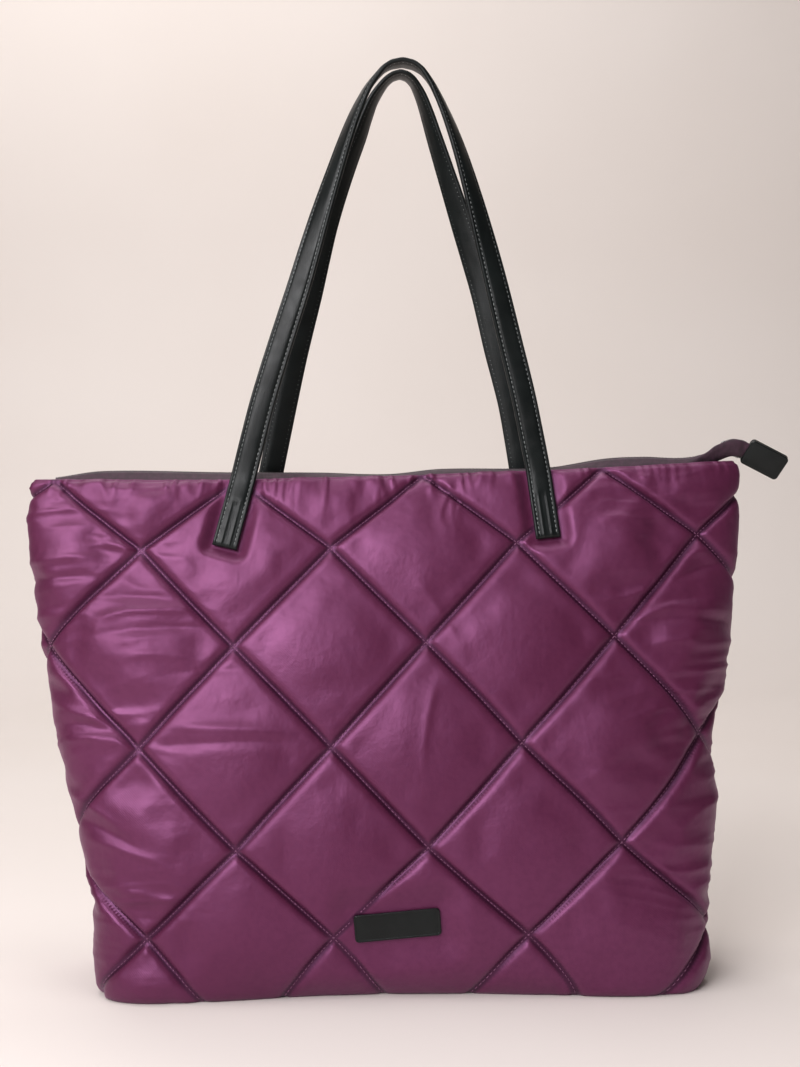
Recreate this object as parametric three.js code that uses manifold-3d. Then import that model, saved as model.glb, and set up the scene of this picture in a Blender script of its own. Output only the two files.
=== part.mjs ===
// Puffer tote bag: two quilted, padded panels that make the sides and the base, a closed zip along the
// top with its tail, slider and pull, two padded leather handles and a blank leather patch.
// Millimetres, +Z up, front towards -Y, origin in the middle of the flat base.

import * as THREE from "three";
import { mergeVertices } from "three/addons/utils/BufferGeometryUtils.js";
import Module from "manifold-3d";

// Body
const TOP_WIDTH = 470;
const SEAM_HEIGHT = 328;
const TOP_RISE = 13;
const BASE_DEPTH = 131;
const BASE_SEAM_SETBACK = 46;
const BASE_SEAM_SHIFT = 4;
const WALL = 3;
const GAP = 0.3;

// Quilting: half of a diamond's width, how far its height of fill stands out and in, and the sideways
// place of the column of crossings nearest to the middle
const QUILT_HALF_WIDTH = 60.5;
const QUILT_SHIFT = 22;
const PUFF_OUT = 6;
const PUFF_IN = 2;
const PUFF_FULLNESS = 0.45;
const STEPS_PER_CROSSING = 4;
const GATHER_DEPTH = 1.2;
const GATHER_REACH = 0.1;

// Where something is sewn on, the fill is pressed flat, and swells again over this distance
const PRESS_MARGIN = 6;
const PRESS_REACH = 12;
const SEWN_LIFT = 0.9;

// Handles
const STRAP_WIDTH = 16.5;
const STRAP_THICKNESS = 5;
const TAB_THICKNESS = 3.4;
const TAB_LENGTH = 32;
const TAB_BOTTOM_HEIGHT = 282;
const RIGHT_TAB_RAISE = 6;
const TAB_SPACING = 210;
const HANDLE_RISE = 274;
const APEX_FORWARD = 13;

// Zip
const TAPE_THICKNESS = 1.3;
const TAPE_TUCK = 8;
const TEETH_WIDTH = 4.6;
const TEETH_THICKNESS = 2.4;
const RIDGE_RISE = 6.5;
const TAIL_WIDTH = 12;
const TAIL_ROLL = 65;
const TUCK_START = 1;
const TUCK_END = 6;
const TEETH_END_CLEAR = 0.5;
const END_TAB_LENGTH = 28;
const END_TAB_WIDTH = 18;
const LEATHER = 1.5;

// Slider and pull
const SLIDER_LENGTH = 9.5;
const SLIDER_WIDTH = 8.5;
const PLATE = 1.2;
const BRIDGE_LENGTH = 8.6;
const BRIDGE_WIDTH = 1.6;
const BRIDGE_BAR = 1.1;
const PULL_LENGTH = 16;
const PULL_WIDTH = 10;
const PULL_WIRE = 1.4;
const PULL_SWING = 35;

// Patch
const PATCH_WIDTH = 54;
const PATCH_HEIGHT = 17.5;
const PATCH_THICKNESS = 1.6;
const PATCH_CENTRE_HEIGHT = 48;
const PATCH_SIDE_SHIFT = 3;
const PATCH_TILT = 4.8;

// Level sections of the body. height is a share of the top seam's height; left and right are the side
// seams' distances as shares of half the top width; depth is a share of half the base depth; square is
// the power of the outline, from a lens at the top to a box at the base; recess is how far the middle
// of the panel is drawn in, as a share of half the base depth.
const SECTIONS = [
  { height: 0.0, left: 0.735, right: 0.8, depth: 0.8, square: 6.0, recess: 0.2 },
  { height: 0.02, left: 0.757, right: 0.835, depth: 0.92, square: 5.5, recess: 0.16 },
  { height: 0.06, left: 0.766, right: 0.858, depth: 0.985, square: 5.2, recess: 0.08 },
  { height: 0.14, left: 0.776, right: 0.868, depth: 1.0, square: 4.8, recess: 0.02 },
  { height: 0.24, left: 0.812, right: 0.862, depth: 0.98, square: 4.4, recess: 0.0 },
  { height: 0.37, left: 0.853, right: 0.887, depth: 0.92, square: 4.0, recess: 0.0 },
  { height: 0.47, left: 0.876, right: 0.887, depth: 0.85, square: 3.7, recess: 0.0 },
  { height: 0.57, left: 0.912, right: 0.926, depth: 0.76, square: 3.4, recess: 0.0 },
  { height: 0.73, left: 0.957, right: 0.958, depth: 0.59, square: 3.1, recess: 0.0 },
  { height: 0.86, left: 0.974, right: 0.976, depth: 0.44, square: 2.9, recess: 0.0 },
  { height: 0.95, left: 0.987, right: 0.984, depth: 0.32, square: 2.8, recess: 0.0 },
  { height: 1.0, left: 0.985, right: 0.986, depth: 0.235, square: 2.8, recess: 0.0 },
];

// Rows of quilt crossings from the top seam down, as shares of the top seam's height.
const CROSSING_ROWS = [
  { crossing: 0, height: 1.0 },
  { crossing: 1, height: 0.861 },
  { crossing: 2, height: 0.673 },
  { crossing: 3, height: 0.478 },
  { crossing: 4, height: 0.286 },
  { crossing: 5, height: 0.118 },
];
const LOW_ROWS = [{ height: 0.075 }, { height: 0.042 }, { height: 0.018 }, { height: 0.0 }];
const BASE_ROWS = 3;

// The top seam and the zip's ridge along the bag: across is a share of half the top width, seam a share
// of TOP_RISE above SEAM_HEIGHT, ridge a share of RIDGE_RISE above the seam.
const TOP_LINE = [
  { across: -1.0, seam: -0.15, ridge: 0.0 },
  { across: -0.93, seam: -0.15, ridge: 0.25 },
  { across: -0.8, seam: -0.17, ridge: 0.95 },
  { across: -0.45, seam: -0.17, ridge: 0.85 },
  { across: -0.2, seam: -0.05, ridge: 0.6 },
  { across: 0.0, seam: 0.03, ridge: 0.3 },
  { across: 0.15, seam: 0.15, ridge: 0.6 },
  { across: 0.45, seam: 0.35, ridge: 0.35 },
  { across: 0.62, seam: 0.5, ridge: 1.0 },
  { across: 0.73, seam: 0.6, ridge: 1.0 },
  { across: 0.83, seam: 0.72, ridge: 0.65 },
  { across: 0.9, seam: 0.8, ridge: 0.7 },
  { across: 1.0, seam: 0.9, ridge: 0.9 },
];

// The zip starts and its tail leaves the ridge at these shares of half the top width. From there, out and
// up are shares of the end tab's length. The zip rolls towards the back between ROLL_START and ROLL_END.
const TAIL_START = 0.905;
const ZIP_START = -0.93;
const TAIL_LINE = [
  { out: 0.0, up: 0.0 },
  { out: 0.36, up: 0.16 },
  { out: 0.67, up: 0.27 },
  { out: 0.95, up: 0.23 },
  { out: 1.04, up: 0.19 },
  { out: 1.53, up: -0.06 },
];
const TAIL_SLIDER_OUT = 0.62;
const TAIL_TAB_OUT = 1.04;
const ROLL_START = -0.5;
const ROLL_END = 0.3;
const ZIP_STEPS = 34;
const TAIL_STEPS = 10;

// The handles from the top seam to their apex. rise is a share of HANDLE_RISE; front and back with Left
// and Right are the places of the legs, as shares of half TAB_SPACING; turn is the twist of the strap, as
// a share of a quarter turn.
const HANDLE_LINE = [
  { rise: 0.0, frontLeft: -0.907, frontRight: 0.932, backLeft: -0.756, backRight: 0.878, turn: 0.0 },
  { rise: 0.17, frontLeft: -0.797, frontRight: 0.847, backLeft: -0.666, backRight: 0.803, turn: 0.04 },
  { rise: 0.31, frontLeft: -0.687, frontRight: 0.762, backLeft: -0.588, backRight: 0.71, turn: 0.1 },
  { rise: 0.46, frontLeft: -0.562, frontRight: 0.67, backLeft: -0.491, backRight: 0.617, turn: 0.2 },
  { rise: 0.62, frontLeft: -0.437, frontRight: 0.565, backLeft: -0.388, backRight: 0.489, turn: 0.4 },
  { rise: 0.75, frontLeft: -0.327, frontRight: 0.472, backLeft: -0.274, backRight: 0.381, turn: 0.58 },
  { rise: 0.85, frontLeft: -0.237, frontRight: 0.385, backLeft: -0.173, backRight: 0.298, turn: 0.7 },
  { rise: 0.93, frontLeft: -0.144, frontRight: 0.294, backLeft: -0.096, backRight: 0.231, turn: 0.82 },
  { rise: 0.975, frontLeft: -0.054, frontRight: 0.219, backLeft: -0.021, backRight: 0.176, turn: 0.93 },
  { rise: 0.994, frontLeft: 0.011, frontRight: 0.154, backLeft: 0.034, backRight: 0.131, turn: 1.0 },
  { rise: 1.0, frontLeft: 0.085, frontRight: 0.085, backLeft: 0.085, backRight: 0.085, turn: 1.0 },
];
// Places of the lower ends of the sewn tabs, as shares of half TAB_SPACING
const TAB_FEET = { frontLeft: -1.015, frontRight: 0.98, backLeft: -0.87, backRight: 0.95 };
const FRONT_LEGS = ["frontLeft", "frontRight"];
const BACK_LEGS = ["backLeft", "backRight"];
const STRAP_STEPS = 2;
const TAB_STEPS = 3;

const HALF_TOP = TOP_WIDTH / 2;
const HALF_BASE = BASE_DEPTH / 2;
const PLAN_STEPS = 160;
const SHARE_STEP = 0.01;
const MERGE_DISTANCE = 1e-4;

// Smooth value of one column of a table at a place along its key column
function lookup(table, key, at, column) {
  let i = 0;
  while (i < table.length - 2 && table[i + 1][key] < at) i += 1;
  const here = table[i];
  const next = table[i + 1];
  const slope = (a, b) => (b[column] - a[column]) / (b[key] - a[key]);
  const inner = (n) => (n > 0 && n < table.length - 1 ? slope(table[n - 1], table[n + 1]) : null);
  const span = next[key] - here[key];
  const t = THREE.MathUtils.clamp((at - here[key]) / span, 0, 1);
  const chord = slope(here, next);
  const startSlope = (inner(i) ?? chord) * span;
  const endSlope = (inner(i + 1) ?? chord) * span;
  const t2 = t * t;
  const t3 = t2 * t;
  return (
    (2 * t3 - 3 * t2 + 1) * here[column] +
    (t3 - 2 * t2 + t) * startSlope +
    (3 * t2 - 2 * t3) * next[column] +
    (t3 - t2) * endSlope
  );
}

// Outline of one half of the body in plan, from the left side seam round the front to the right one,
// as points and their lengths along it
function planCurve(left, right, depth, square, recess) {
  const points = [];
  const lengths = [0];
  for (let i = 0; i <= PLAN_STEPS; i += 1) {
    const angle = (Math.PI * i) / PLAN_STEPS;
    const side = Math.abs(Math.cos(angle)) ** (2 / square);
    const front = Math.sin(angle) ** (2 / square);
    const drawnIn = recess * (1 - side ** 2) ** 2;
    const x = angle < Math.PI / 2 ? -left * side : right * side;
    points.push([x, -Math.max(depth * front - drawnIn, 0)]);
    if (i > 0) {
      const [px, py] = points[i - 1];
      lengths.push(lengths[i - 1] + Math.hypot(x - px, points[i][1] - py));
    }
  }
  return { points, lengths };
}

// Point of a plan curve: share runs from -1 at the left seam through 0 in the middle to 1 at the right
function alongPlan(curve, share) {
  const { points, lengths } = curve;
  const middle = lengths[PLAN_STEPS / 2];
  const whole = lengths[PLAN_STEPS];
  const wanted = share < 0 ? middle * (1 + share) : middle + (whole - middle) * share;
  let i = 1;
  while (i < PLAN_STEPS && lengths[i] < wanted) i += 1;
  const t = THREE.MathUtils.clamp((wanted - lengths[i - 1]) / (lengths[i] - lengths[i - 1]), 0, 1);
  return [
    THREE.MathUtils.lerp(points[i - 1][0], points[i][0], t),
    THREE.MathUtils.lerp(points[i - 1][1], points[i][1], t),
  ];
}

const planCache = new Map();

function planAt(height) {
  if (!planCache.has(height)) {
    const value = (column) => lookup(SECTIONS, "height", height, column);
    planCache.set(
      height,
      planCurve(
        value("left") * HALF_TOP,
        value("right") * HALF_TOP,
        value("depth") * HALF_BASE,
        value("square"),
        value("recess") * HALF_BASE,
      ),
    );
  }
  return planCache.get(height);
}

function seamHeight(x) {
  return SEAM_HEIGHT + TOP_RISE * lookup(TOP_LINE, "across", x / HALF_TOP, "seam");
}

function ridgeHeight(x) {
  return seamHeight(x) + RIDGE_RISE * lookup(TOP_LINE, "across", x / HALF_TOP, "ridge");
}

// Middle of the wall of the front panel; height is a share of the seam's height
function wallPoint(share, height) {
  const [x, y] = alongPlan(planAt(height), share);
  return new THREE.Vector3(x, y, THREE.MathUtils.lerp(WALL / 2, seamHeight(x), height));
}

function wallNormal(share, height) {
  const before = wallPoint(Math.max(share - SHARE_STEP, -1), height);
  const after = wallPoint(Math.min(share + SHARE_STEP, 1), height);
  const below = wallPoint(share, Math.max(height - SHARE_STEP, 0));
  const above = wallPoint(share, Math.min(height + SHARE_STEP, 1));
  const normal = after.sub(before).cross(above.sub(below)).normalize();
  if (Math.abs(share) === 1) normal.setY(0).normalize();
  return normal;
}

// Share of the way along the panel at which a level section has the given x
function shareAtX(x, height) {
  let low = -1;
  let high = 1;
  for (let i = 0; i < 40; i += 1) {
    const middle = (low + high) / 2;
    if (alongPlan(planAt(height), middle)[0] < x) low = middle;
    else high = middle;
  }
  return (low + high) / 2;
}

// 1 where something sewn on presses the fill flat, 0 away from it
function pressed(point, places) {
  let most = 0;
  for (const place of places) {
    const dx = Math.max(Math.abs(point.x - place.x) - place.halfWidth, 0);
    const dz = Math.max(Math.abs(point.z - place.z) - place.halfHeight, 0);
    const far = (Math.hypot(dx, dz) - PRESS_MARGIN) / PRESS_REACH;
    most = Math.max(most, 1 - THREE.MathUtils.clamp(far, 0, 1));
  }
  return most;
}

// Height of the fill, from 0 on the quilt lines to 1 in the middle of a diamond
function fill(across, down) {
  const rising = Math.sin((Math.PI * (across + down)) / 2);
  const falling = Math.sin((Math.PI * (across - down)) / 2);
  return Math.abs(rising * falling) ** PUFF_FULLNESS;
}

// Grid columns along the panel at whole steps of the quilting, with the two side seams at the ends
function quiltColumns() {
  const reach = planAt(0.5).lengths;
  const left = reach[PLAN_STEPS / 2];
  const right = reach[PLAN_STEPS] - left;
  const step = QUILT_HALF_WIDTH / STEPS_PER_CROSSING;
  const columns = [{ share: -1, across: 0, seam: true }];
  for (let k = -Math.ceil((left + QUILT_SHIFT) / step); k * step + QUILT_SHIFT < right; k += 1) {
    const s = k * step + QUILT_SHIFT;
    if (s > -left + step / 3 && s < right - step / 3) {
      columns.push({ share: s < 0 ? s / left : s / right, across: k / STEPS_PER_CROSSING, k });
    }
  }
  columns.push({ share: 1, across: 0, seam: true });
  return columns;
}

// Grid rows from the bottom up: first across the base from its middle seam, then up the wall
function quiltRows() {
  const rows = [];
  for (let i = 0; i < BASE_ROWS; i += 1) rows.push({ base: i / BASE_ROWS });
  const low = [...LOW_ROWS].reverse();
  const lowest = CROSSING_ROWS[CROSSING_ROWS.length - 1].crossing;
  for (const [i, row] of low.entries()) {
    rows.push({ height: row.height, down: lowest + (low.length - i) / STEPS_PER_CROSSING });
  }
  for (let n = CROSSING_ROWS.length - 1; n >= 0; n -= 1) {
    const start = CROSSING_ROWS[n];
    const end = CROSSING_ROWS[n - 1];
    for (let i = 0; i < (end ? STEPS_PER_CROSSING : 1); i += 1) {
      const t = i / STEPS_PER_CROSSING;
      const height = end ? THREE.MathUtils.lerp(start.height, end.height, t) : start.height;
      rows.push({ height, down: start.crossing - t });
    }
  }
  return rows;
}

// Middle, direction out, and fill of the wall at one grid point of the front panel
function gridPoint(row, column, places) {
  if (row.base !== undefined) {
    const outline = SECTIONS[0];
    const grow = row.base;
    const curve = planCurve(
      outline.left * HALF_TOP - BASE_SEAM_SETBACK * (1 - grow),
      outline.right * HALF_TOP - BASE_SEAM_SETBACK * (1 - grow),
      outline.depth * HALF_BASE * grow,
      outline.square,
      outline.recess * HALF_BASE * grow,
    );
    const [x, y] = alongPlan(curve, column.share);
    return { middle: new THREE.Vector3(x, y, WALL / 2), out: new THREE.Vector3(0, 0, -1), swell: 0 };
  }
  const middle = wallPoint(column.share, row.height);
  if (row.height === 0) return { middle, out: new THREE.Vector3(0, 0, -1), swell: 0 };
  const out = wallNormal(column.share, row.height);
  const free = column.seam ? 0 : 1 - pressed(middle, places);
  const swell = row.height < 1 ? fill(column.across, row.down) * free : 0;
  const gathered = Math.max(1 - (1 - row.height) / GATHER_REACH, 0) * free;
  const gather = column.seam ? 0 : GATHER_DEPTH * gathered * (column.k % 2 === 0 ? 1 : -1);
  return { middle: middle.addScaledVector(out, gather), out, swell };
}

// Closed solid between two grids of points with the same rows and columns
function gridSolid(outer, inner, mirrored) {
  const rows = outer.length;
  const columns = outer[0].length;
  const positions = [...outer.flat(), ...inner.flat()].flatMap((p) => [p.x, p.y, p.z]);
  const out = (j, i) => j * columns + i;
  const into = (j, i) => rows * columns + j * columns + i;
  const index = [];
  const triangle = (a, b, c) => index.push(...(mirrored ? [a, c, b] : [a, b, c]));
  const quad = (a, b, c, d, even = true) => {
    triangle(a, b, even ? c : d);
    triangle(even ? a : b, c, d);
  };
  for (let j = 0; j < rows - 1; j += 1) {
    for (let i = 0; i < columns - 1; i += 1) {
      const even = (i + j) % 2 === 0;
      quad(out(j, i), out(j, i + 1), out(j + 1, i + 1), out(j + 1, i), even);
      quad(into(j, i + 1), into(j, i), into(j + 1, i), into(j + 1, i + 1), !even);
    }
  }
  for (let i = 0; i < columns - 1; i += 1) {
    quad(out(0, i + 1), out(0, i), into(0, i), into(0, i + 1));
    quad(out(rows - 1, i), out(rows - 1, i + 1), into(rows - 1, i + 1), into(rows - 1, i));
  }
  for (let j = 0; j < rows - 1; j += 1) {
    quad(out(j, 0), out(j + 1, 0), into(j + 1, 0), into(j, 0));
    quad(out(j + 1, columns - 1), out(j, columns - 1), into(j, columns - 1), into(j + 1, columns - 1));
  }
  const geometry = new THREE.BufferGeometry();
  geometry.setAttribute("position", new THREE.Float32BufferAttribute(positions, 3));
  geometry.setIndex(index);
  geometry.computeVertexNormals();
  return geometry;
}

// Closed solid through rings of points that all run the same way round, with flat ends
function ringSolid(rings, closedPath = false) {
  const sides = rings[0].length;
  const positions = rings.flat().flatMap((p) => [p.x, p.y, p.z]);
  const index = [];
  const count = rings.length;
  for (let j = 0; j < (closedPath ? count : count - 1); j += 1) {
    for (let i = 0; i < sides; i += 1) {
      const a = j * sides + i;
      const b = j * sides + ((i + 1) % sides);
      const c = ((j + 1) % count) * sides + ((i + 1) % sides);
      const d = ((j + 1) % count) * sides + i;
      index.push(a, b, c, a, c, d);
    }
  }
  if (!closedPath) {
    const last = (count - 1) * sides;
    for (let i = 1; i < sides - 1; i += 1) {
      index.push(0, i + 1, i, last, last + i, last + i + 1);
    }
  }
  const geometry = new THREE.BufferGeometry();
  geometry.setAttribute("position", new THREE.Float32BufferAttribute(positions, 3));
  geometry.setIndex(index);
  return outwards(geometry);
}

// Turns a closed geometry's faces to point out
function outwards(geometry) {
  const p = geometry.getAttribute("position");
  const index = geometry.getIndex();
  const [a, b, c] = [new THREE.Vector3(), new THREE.Vector3(), new THREE.Vector3()];
  let volume = 0;
  for (let i = 0; i < index.count; i += 3) {
    a.fromBufferAttribute(p, index.getX(i));
    b.fromBufferAttribute(p, index.getX(i + 1));
    c.fromBufferAttribute(p, index.getX(i + 2));
    volume += a.dot(b.cross(c));
  }
  if (volume < 0) {
    for (let i = 0; i < index.count; i += 3) {
      const second = index.getX(i + 1);
      index.setX(i + 1, index.getX(i + 2));
      index.setX(i + 2, second);
    }
  }
  geometry.computeVertexNormals();
  return geometry;
}

// Lower and upper end of the sewn tab at the foot of one leg of a handle
function tabEnds(leg) {
  const half = TAB_SPACING / 2;
  const raise = TAB_FEET[leg] > 0 ? RIGHT_TAB_RAISE : 0;
  const topX = HANDLE_LINE[0][leg] * half;
  return {
    bottom: { x: TAB_FEET[leg] * half, z: TAB_BOTTOM_HEIGHT + raise },
    top: { x: topX, z: seamHeight(topX) },
  };
}

// Places where the handles' ends and the patch are sewn to a panel
function sewnPlaces(legs, withPatch) {
  const places = legs.map((leg) => {
    const { bottom, top } = tabEnds(leg);
    const reach = SEAM_HEIGHT + TOP_RISE;
    return {
      x: (bottom.x + top.x) / 2,
      z: (bottom.z + reach) / 2,
      halfWidth: STRAP_WIDTH / 2 + Math.abs(bottom.x - top.x) / 2,
      halfHeight: (reach - bottom.z) / 2,
    };
  });
  if (withPatch) {
    places.push({
      x: PATCH_SIDE_SHIFT,
      z: PATCH_CENTRE_HEIGHT,
      halfWidth: PATCH_WIDTH / 2,
      halfHeight: PATCH_HEIGHT / 2,
    });
  }
  return places;
}

function panelGeometry(places, mirrored) {
  const columns = quiltColumns();
  const outer = [];
  const inner = [];
  for (const row of quiltRows()) {
    const outerRow = [];
    const innerRow = [];
    for (const column of columns) {
      const { middle, out, swell } = gridPoint(row, column, places);
      const outside = middle.clone().addScaledVector(out, WALL / 2 + PUFF_OUT * swell);
      const inside = middle.clone().addScaledVector(out, -WALL / 2 - PUFF_IN * swell);
      outside.z = Math.max(outside.z, 0);
      const onBaseSeam = row.base === 0;
      for (const point of [outside, inside]) {
        point.y = Math.min(point.y, -GAP / 2);
        if (mirrored) point.y = -point.y;
        if (onBaseSeam) point.y += BASE_SEAM_SHIFT;
      }
      outerRow.push(outside);
      innerRow.push(inside);
    }
    outer.push(outerRow);
    inner.push(innerRow);
  }
  return gridSolid(outer, inner, mirrored);
}

// Sections of the strap and of the teeth: bands with rounded edges, in shares of half width and thickness
const STRAP_SECTION = [
  { across: -0.78, out: -1 },
  { across: 0.78, out: -1 },
  { across: 1, out: -0.45 },
  { across: 1, out: 0.45 },
  { across: 0.78, out: 1 },
  { across: -0.78, out: 1 },
  { across: -1, out: 0.45 },
  { across: -1, out: -0.45 },
];
const TEETH_SECTION = [
  { across: -1, out: -0.3 },
  { across: -0.6, out: -1 },
  { across: 0.6, out: -1 },
  { across: 1, out: -0.3 },
  { across: 1, out: 0.3 },
  { across: 0.6, out: 1 },
  { across: -0.6, out: 1 },
  { across: -1, out: 0.3 },
];

// Ring of a band's section round a place, with the directions across the band and out of it
function sectionRing(section, place, across, width, out, thickness) {
  return section.map((corner) =>
    place
      .clone()
      .addScaledVector(across, (corner.across * width) / 2)
      .addScaledVector(out, (corner.out * thickness) / 2),
  );
}

// Stations of one leg of a handle as on the front panel, from its sewn end up to the apex
function handleLeg(leg) {
  const stations = [];
  const { bottom, top } = tabEnds(leg);
  for (let i = 0; i <= TAB_STEPS; i += 1) {
    const z = THREE.MathUtils.lerp(bottom.z, top.z, i / TAB_STEPS);
    const x = THREE.MathUtils.lerp(bottom.x, top.x, i / TAB_STEPS);
    const height = Math.min((z - WALL / 2) / (seamHeight(x) - WALL / 2), 1);
    const share = shareAtX(x, height);
    const normal = wallNormal(share, height);
    const thickness = z < bottom.z + TAB_LENGTH ? TAB_THICKNESS : STRAP_THICKNESS;
    const offset = WALL / 2 + SEWN_LIFT + thickness / 2;
    stations.push({ point: wallPoint(share, height).addScaledVector(normal, offset), normal, thickness });
  }
  const start = stations[stations.length - 1].point;
  for (let i = 0; i < HANDLE_LINE.length - 1; i += 1) {
    for (let k = i === 0 ? 1 : 0; k < STRAP_STEPS; k += 1) {
      const rise = THREE.MathUtils.lerp(HANDLE_LINE[i].rise, HANDLE_LINE[i + 1].rise, k / STRAP_STEPS);
      const x = (lookup(HANDLE_LINE, "rise", rise, leg) * TAB_SPACING) / 2;
      const y = THREE.MathUtils.lerp(start.y, -APEX_FORWARD, rise);
      const z = THREE.MathUtils.lerp(start.z, SEAM_HEIGHT + HANDLE_RISE, rise);
      const turn = (lookup(HANDLE_LINE, "rise", rise, "turn") * Math.PI) / 2;
      stations.push({ point: new THREE.Vector3(x, y, z), turn, thickness: STRAP_THICKNESS });
    }
  }
  return stations;
}

function handleGeometry([leftLeg, rightLeg], mirrored) {
  const apexX = (HANDLE_LINE[HANDLE_LINE.length - 1][leftLeg] * TAB_SPACING) / 2;
  const apex = {
    point: new THREE.Vector3(apexX, -APEX_FORWARD, SEAM_HEIGHT + HANDLE_RISE),
    turn: Math.PI / 2,
    thickness: STRAP_THICKNESS,
  };
  const stations = [...handleLeg(leftLeg), apex, ...handleLeg(rightLeg).reverse()];
  const rings = stations.map((station, n) => {
    const before = stations[Math.max(n - 1, 0)].point;
    const after = stations[Math.min(n + 1, stations.length - 1)].point;
    const along = after.clone().sub(before).normalize();
    const front = station.normal ?? new THREE.Vector3(0, -1, 0);
    const flat = along.clone().cross(front).normalize();
    const facing = flat.clone().cross(along).normalize();
    const turn = station.turn ?? 0;
    const normal = facing.clone().multiplyScalar(Math.cos(turn)).addScaledVector(flat, -Math.sin(turn));
    const across = along.clone().cross(normal).normalize();
    return sectionRing(STRAP_SECTION, station.point, across, STRAP_WIDTH, normal, station.thickness);
  });
  if (mirrored) {
    for (const point of rings.flat()) point.y = -point.y;
  }
  return ringSolid(rings);
}

// Rows and columns of the patch, as shares of half its sizes. The end rows are a little shorter, which
// rounds its corners.
const PATCH_ROWS = [
  { up: -1, long: 0.96 },
  { up: -0.88, long: 1 },
  { up: 0, long: 1 },
  { up: 0.88, long: 1 },
  { up: 1, long: 0.96 },
];
const PATCH_STEPS = 6;

// Blank leather patch that follows the front panel, tilted a little
function patchGeometry() {
  const tilt = THREE.MathUtils.degToRad(PATCH_TILT);
  const outer = [];
  const inner = [];
  for (const row of PATCH_ROWS) {
    const outerRow = [];
    const innerRow = [];
    for (let i = 0; i <= PATCH_STEPS; i += 1) {
      const a = (((2 * i) / PATCH_STEPS - 1) * row.long * PATCH_WIDTH) / 2;
      const b = (row.up * PATCH_HEIGHT) / 2;
      const x = PATCH_SIDE_SHIFT + a * Math.cos(tilt) - b * Math.sin(tilt);
      const z = PATCH_CENTRE_HEIGHT + a * Math.sin(tilt) + b * Math.cos(tilt);
      const height = (z - WALL / 2) / (seamHeight(x) - WALL / 2);
      const share = shareAtX(x, height);
      const normal = wallNormal(share, height);
      const middle = wallPoint(share, height).addScaledVector(normal, WALL / 2 + SEWN_LIFT);
      outerRow.push(middle.clone().addScaledVector(normal, PATCH_THICKNESS));
      innerRow.push(middle);
    }
    outer.push(outerRow);
    inner.push(innerRow);
  }
  return gridSolid(outer, inner, false);
}

// Middle line of the zip's tail at a distance out from where it leaves the ridge
function tailPoint(out) {
  const startX = TAIL_START * HALF_TOP;
  const up = lookup(TAIL_LINE, "out", out, "up");
  return new THREE.Vector3(startX + out * END_TAB_LENGTH, 0, ridgeHeight(startX) + up * END_TAB_LENGTH);
}

const ROLL = THREE.MathUtils.degToRad(TAIL_ROLL);
const TAIL_BACKWARDS = new THREE.Vector3(0, Math.cos(ROLL), -Math.sin(ROLL));

// Stations along the zip from its left end to the end of the tail. teeth is the middle line, and each
// tape has an edge by the teeth, a bend and an outer edge.
function zipStations() {
  const stations = [];
  const seamEnd = TAIL_START * HALF_TOP;
  for (let i = 0; i <= ZIP_STEPS; i += 1) {
    const x = THREE.MathUtils.lerp(ZIP_START * HALF_TOP, seamEnd, i / ZIP_STEPS);
    stations.push({ x, out: (x - seamEnd) / END_TAB_LENGTH });
  }
  const tailEnd = TAIL_LINE[TAIL_LINE.length - 1].out;
  for (let i = 1; i <= TAIL_STEPS; i += 1) {
    const out = (tailEnd * i) / TAIL_STEPS;
    stations.push({ x: seamEnd + out * END_TAB_LENGTH, out });
  }
  return stations;
}

// Middle of the teeth at one station, with the directions across them to the back and up from them
function teethFrame({ x, out }) {
  const rolled = rollShare(out);
  const ridge = new THREE.Vector3(x, 0, ridgeHeight(Math.min(x, TAIL_START * HALF_TOP)));
  const middle = ridge.lerp(tailPoint(Math.max(out, 0)).setX(x), rolled);
  const across = new THREE.Vector3(0, 1, 0).lerp(TAIL_BACKWARDS, rolled).normalize();
  return { middle, across, up: new THREE.Vector3(0, -across.z, across.y) };
}

// 0 along the bag, 1 where the zip has rolled to face the back
function rollShare(out) {
  return THREE.MathUtils.smoothstep(out, ROLL_START, ROLL_END);
}

// Edge by the teeth, bend and outer edge of the front tape (side -1) or the back tape (side 1)
function tapeLine(station, side) {
  const { x, out } = station;
  const clear = WALL / 2 + GAP + TAPE_THICKNESS / 2;
  const half = TEETH_WIDTH / 2 + GAP;
  const bodyX = Math.min(x, TAIL_START * HALF_TOP);
  const depth = -alongPlan(planAt(1), shareAtX(bodyX, 1))[1] - GATHER_DEPTH;
  const reach = Math.max(depth - clear, half + TUCK_START);
  const seam = seamHeight(bodyX);
  const tuck = TAPE_TUCK * THREE.MathUtils.smoothstep(reach, half + TUCK_START, half + TUCK_END);
  const body = [
    new THREE.Vector3(x, side * reach, seam + TAPE_THICKNESS / 2),
    new THREE.Vector3(x, side * reach, seam - tuck - GAP),
  ];
  const { middle, across } = teethFrame(station);
  const tail = [(half + TAIL_WIDTH / 2) / 2, TAIL_WIDTH / 2].map((distance) =>
    middle.clone().addScaledVector(TAIL_BACKWARDS, side * distance),
  );
  const rolled = rollShare(out);
  return [
    middle.clone().addScaledVector(across, side * half),
    ...body.map((point, n) => point.lerp(tail[n], rolled)),
  ];
}

function tapeGeometry(side) {
  const rings = zipStations().map((station) => {
    const line = tapeLine(station, side);
    const thick = (n) => {
      if (n === 0) return teethFrame(station).up.multiplyScalar((side * TAPE_THICKNESS) / 2);
      const from = line[n - 1];
      const to = line[Math.min(n + 1, 2)];
      const direction = to.clone().sub(from).setX(0).normalize();
      return new THREE.Vector3(0, -direction.z, direction.y).multiplyScalar(TAPE_THICKNESS / 2);
    };
    const over = line.map((point, n) => point.clone().add(thick(n)));
    const under = line.map((point, n) => point.clone().sub(thick(n)));
    return [...over, ...under.reverse()];
  });
  return ringSolid(rings);
}

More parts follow.
